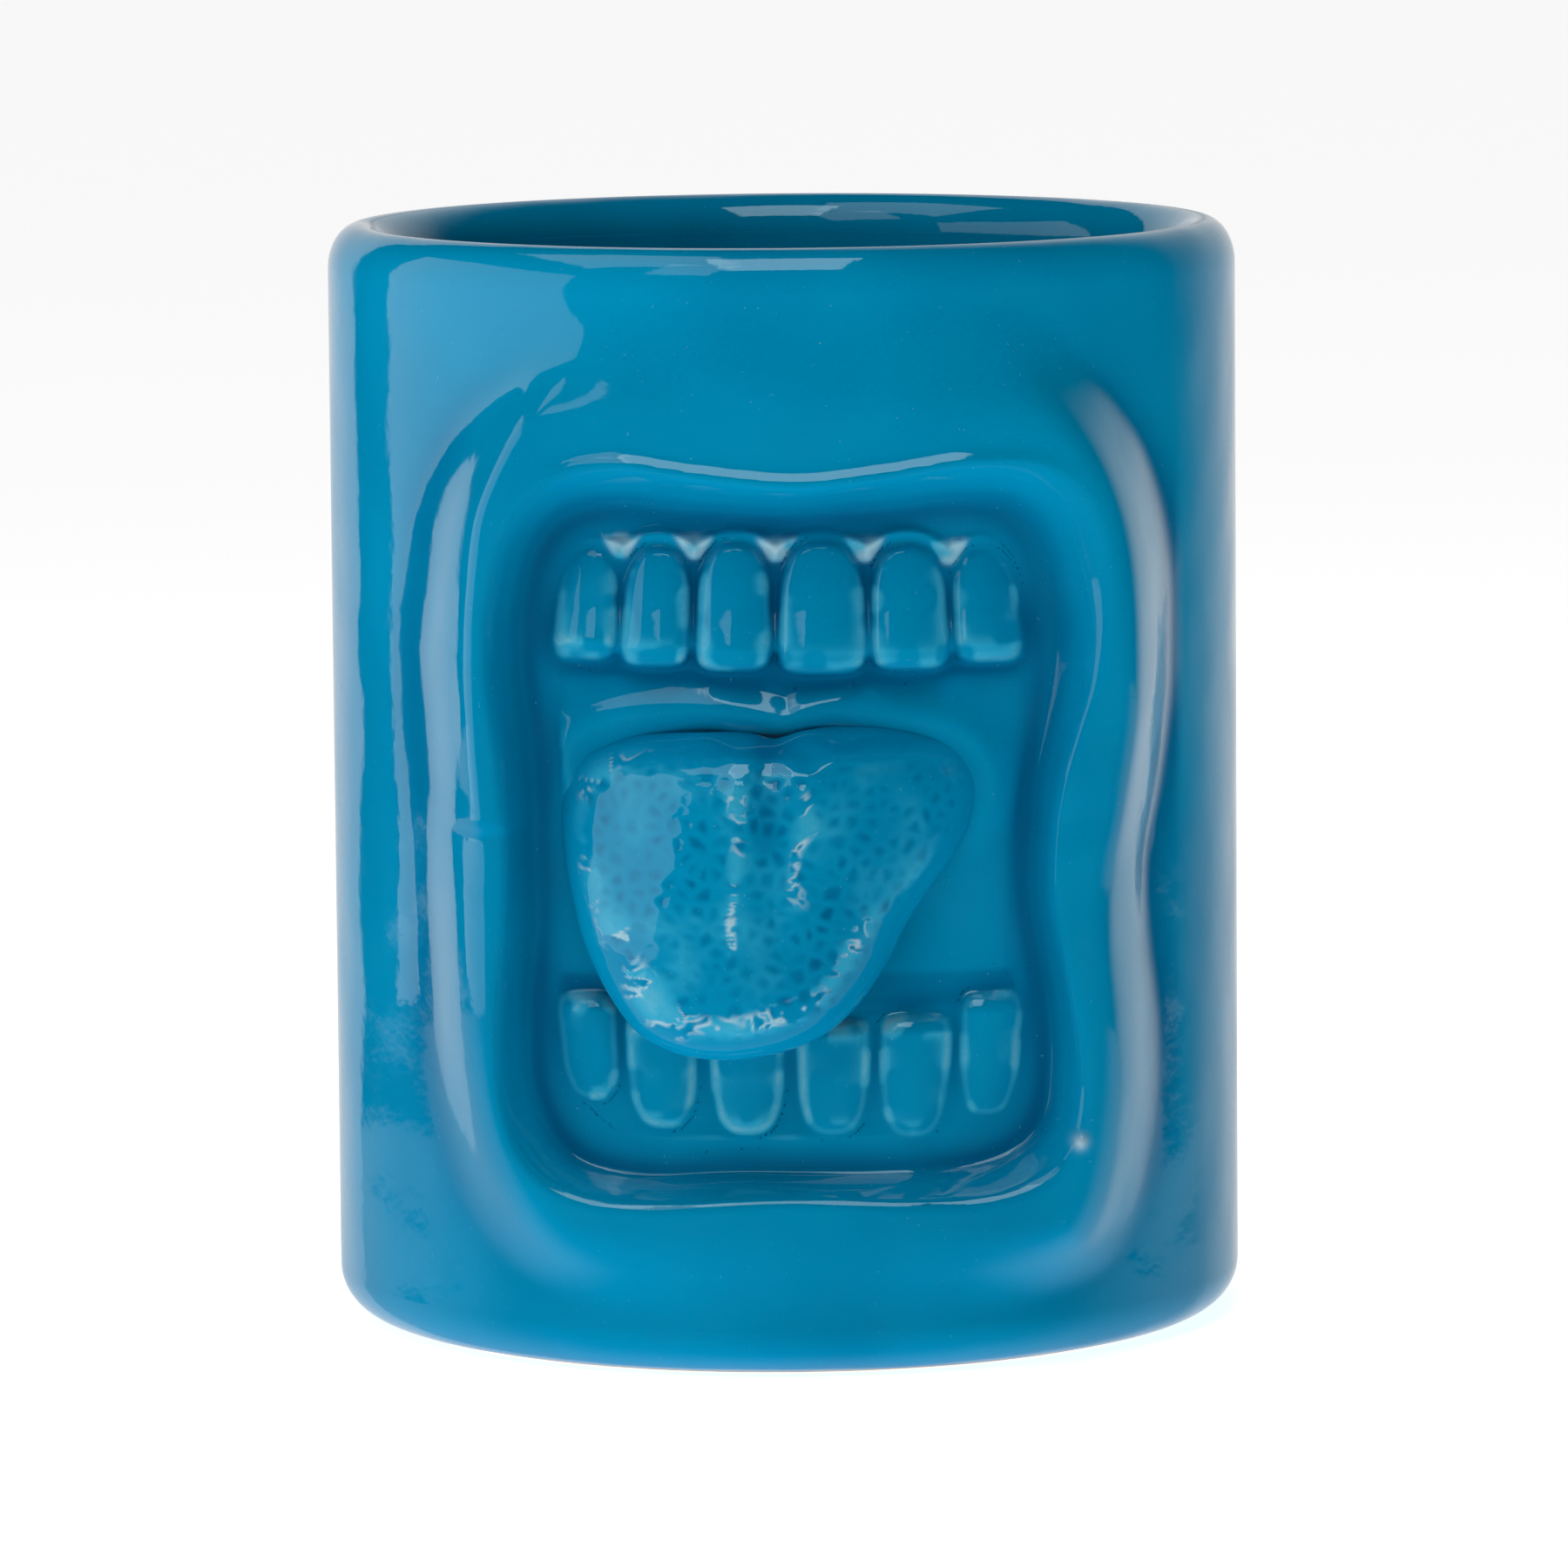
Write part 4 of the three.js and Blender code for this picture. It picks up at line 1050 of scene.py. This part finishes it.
pieces["mug_floor"] = build_turned("mug_floor", [
    (0, FOOT, 0, 0), (FLOOR_R, FOOT, 0, -1), (FLOOR_R, FOOT, 1, 0), (FLOOR_R, FLOOR_TOP, 1, 0),
    (FLOOR_R, FLOOR_TOP, 0, 1), (FLOOR_R * 0.7, FLOOR_TOP, 0, 1), (FLOOR_R * 0.35, FLOOR_TOP, 0, 1),
    (0, FLOOR_TOP, 0, 0),
], glaze)
foot_r = R - BASE_ROUND + BASE_ROUND * math.cos(math.radians(BASE_TURN)) - 0.55
foot_top = FOOT - FOOT_CLEAR
pieces["bare_foot"] = build_turned("bare_foot", [
    (0, 0, 0, 0), (foot_r * 0.5, 0, 0, -1), (foot_r - 0.3, 0, 0, -1), (foot_r - 0.1, 0.05, 0.7, -0.7),
    (foot_r, 0.2, 1, 0), (foot_r, foot_top, 1, 0), (foot_r * 0.5, foot_top, 0, 1), (0, foot_top, 0, 0),
], clay)
for node, piece in pieces.items():
    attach(piece, "root")
    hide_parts(node)

# ---------------------------------------------------------------- floor, light and camera
def paper_sheet(name, points, faces, sheet_material):
    mesh = bpy.data.meshes.new(name)
    mesh.from_pydata(points, [], faces)
    mesh.materials.append(sheet_material)
    return new_object(name, mesh)


STAGE_Y = 1.9
FLOOR_W, FLOOR_D = 1.8, 3.2
table_top = paper_sheet(
    "studio_floor", [(-FLOOR_W, -FLOOR_D, 0), (FLOOR_W, -FLOOR_D, 0), (FLOOR_W, FLOOR_D, 0), (-FLOOR_W, FLOOR_D, 0)],
    [(0, 1, 2, 3)], paper,
)
table_top.location = (0, STAGE_Y, 0)
table_top.visible_glossy = False

# A round paper wall closes the view on every side; it lights nothing.
WALL_R, WALL_LOW, WALL_HIGH, WALL_SIDES = 4.5, -1.0, 5.0, 96
ring = [(WALL_R * math.cos(a), STAGE_Y + WALL_R * math.sin(a))
        for a in np.linspace(0, 2 * math.pi, WALL_SIDES, endpoint=False)]
backdrop = paper_sheet(
    "studio_backdrop", [(x, y, z) for z in (WALL_LOW, WALL_HIGH) for x, y in ring],
    [(k, k + WALL_SIDES, (k + 1) % WALL_SIDES + WALL_SIDES, (k + 1) % WALL_SIDES) for k in range(WALL_SIDES)],
    backdrop_paper,
)
backdrop.visible_diffuse = backdrop.visible_glossy = backdrop.visible_shadow = False


def softbox(name, centre, across, along, width, height, radiance, glossy=True):
    """A rectangular soft light; it shines to the side that across x along points away from."""
    data = bpy.data.lights.new(name, "AREA")
    data.shape = "RECTANGLE"
    data.size, data.size_y = width, height
    data.energy = radiance * math.pi * width * height
    light = new_object(name, data)
    x_axis, y_axis = Vector(across).normalized(), Vector(along).normalized()
    z_axis = x_axis.cross(y_axis).normalized()
    y_axis = z_axis.cross(x_axis)
    turn = Matrix((x_axis, y_axis, z_axis)).transposed().to_4x4()
    light.matrix_world = Matrix.Translation(centre) @ turn
    light.visible_glossy = glossy


softbox("left_softbox", (-0.255, -0.05, 0.125), (0, -1, 0), (0, 0, 1), 0.286, 0.25, 1.05)
softbox("front_left_softbox", (-0.17, -0.33, 0.46), (0.83, -0.56, 0), (0.32, 0.46, 0.83), 0.17, 0.22, 1.3)
softbox("front_bounce", (0, -0.72, 0.003), (1, 0, 0), (0, -1, 0), 1.6, 1.0, 0.65, glossy=False)
softbox("leaning_softbox", (-0.215, -0.126, 0.66), (0, -0.894, -0.447), (0.23, -0.15, 0.30), 0.40, 0.41, 1.4)
softbox("top_softbox", (0.01, -0.33, 0.66), (1, 0, 0), (0, 1, 0.4), 0.28, 0.40, 3.4)

world = bpy.data.worlds.new("studio")
bpy.context.scene.world = world
world.use_nodes = True
tree = world.node_tree
tree.nodes.clear()
world_output = tree.nodes.new("ShaderNodeOutputWorld")
background = tree.nodes.new("ShaderNodeBackground")
tree.links.new(background.outputs[0], world_output.inputs[0])
direction = tree.nodes.new("ShaderNodeTexCoord")
split = tree.nodes.new("ShaderNodeSeparateXYZ")
tree.links.new(direction.outputs["Generated"], split.inputs[0])
ahead, aside, upward = split.outputs["Y"], split.outputs["X"], split.outputs["Z"]
# White behind the cup, with a hard edge on the left and a soft one on the right, and grey under the table's line.
lit = 0.0
for along_view, over in (
    (ramp(tree, ahead, 0.735, 0.755, 0.0, 0.95), ramp(tree, aside, 0.0, 0.1, 1.0, 0.0)),
    (ramp(tree, ahead, 0.42, 0.92, 0.0, 0.95), ramp(tree, aside, -0.05, 0.1)),
    (ramp(tree, ahead, -0.35, 0.35, 0.0, 0.5), ramp(tree, upward, -0.157, -0.143, 1.0, 0.0)),
):
    lit = math_node(tree, "MAXIMUM", lit, math_node(tree, "MULTIPLY", along_view, over))
tree.links.new(lit, background.inputs["Strength"])

camera_data = bpy.data.cameras.new("camera")
camera = new_object("camera", camera_data)
camera_data.sensor_width = 36
camera_data.lens = 237.0
camera_data.clip_start, camera_data.clip_end = 0.05, 20
pitch, roll = math.radians(6.8517), math.radians(-0.4748)
look = Matrix.Rotation(math.pi / 2 - pitch, 4, "X") @ Matrix.Rotation(roll, 4, "Z")
camera.matrix_world = Matrix.Translation((-0.00015, -0.9784, 0.16765)) @ look
bpy.context.scene.camera = camera
bpy.context.scene.view_settings.view_transform = "Standard"
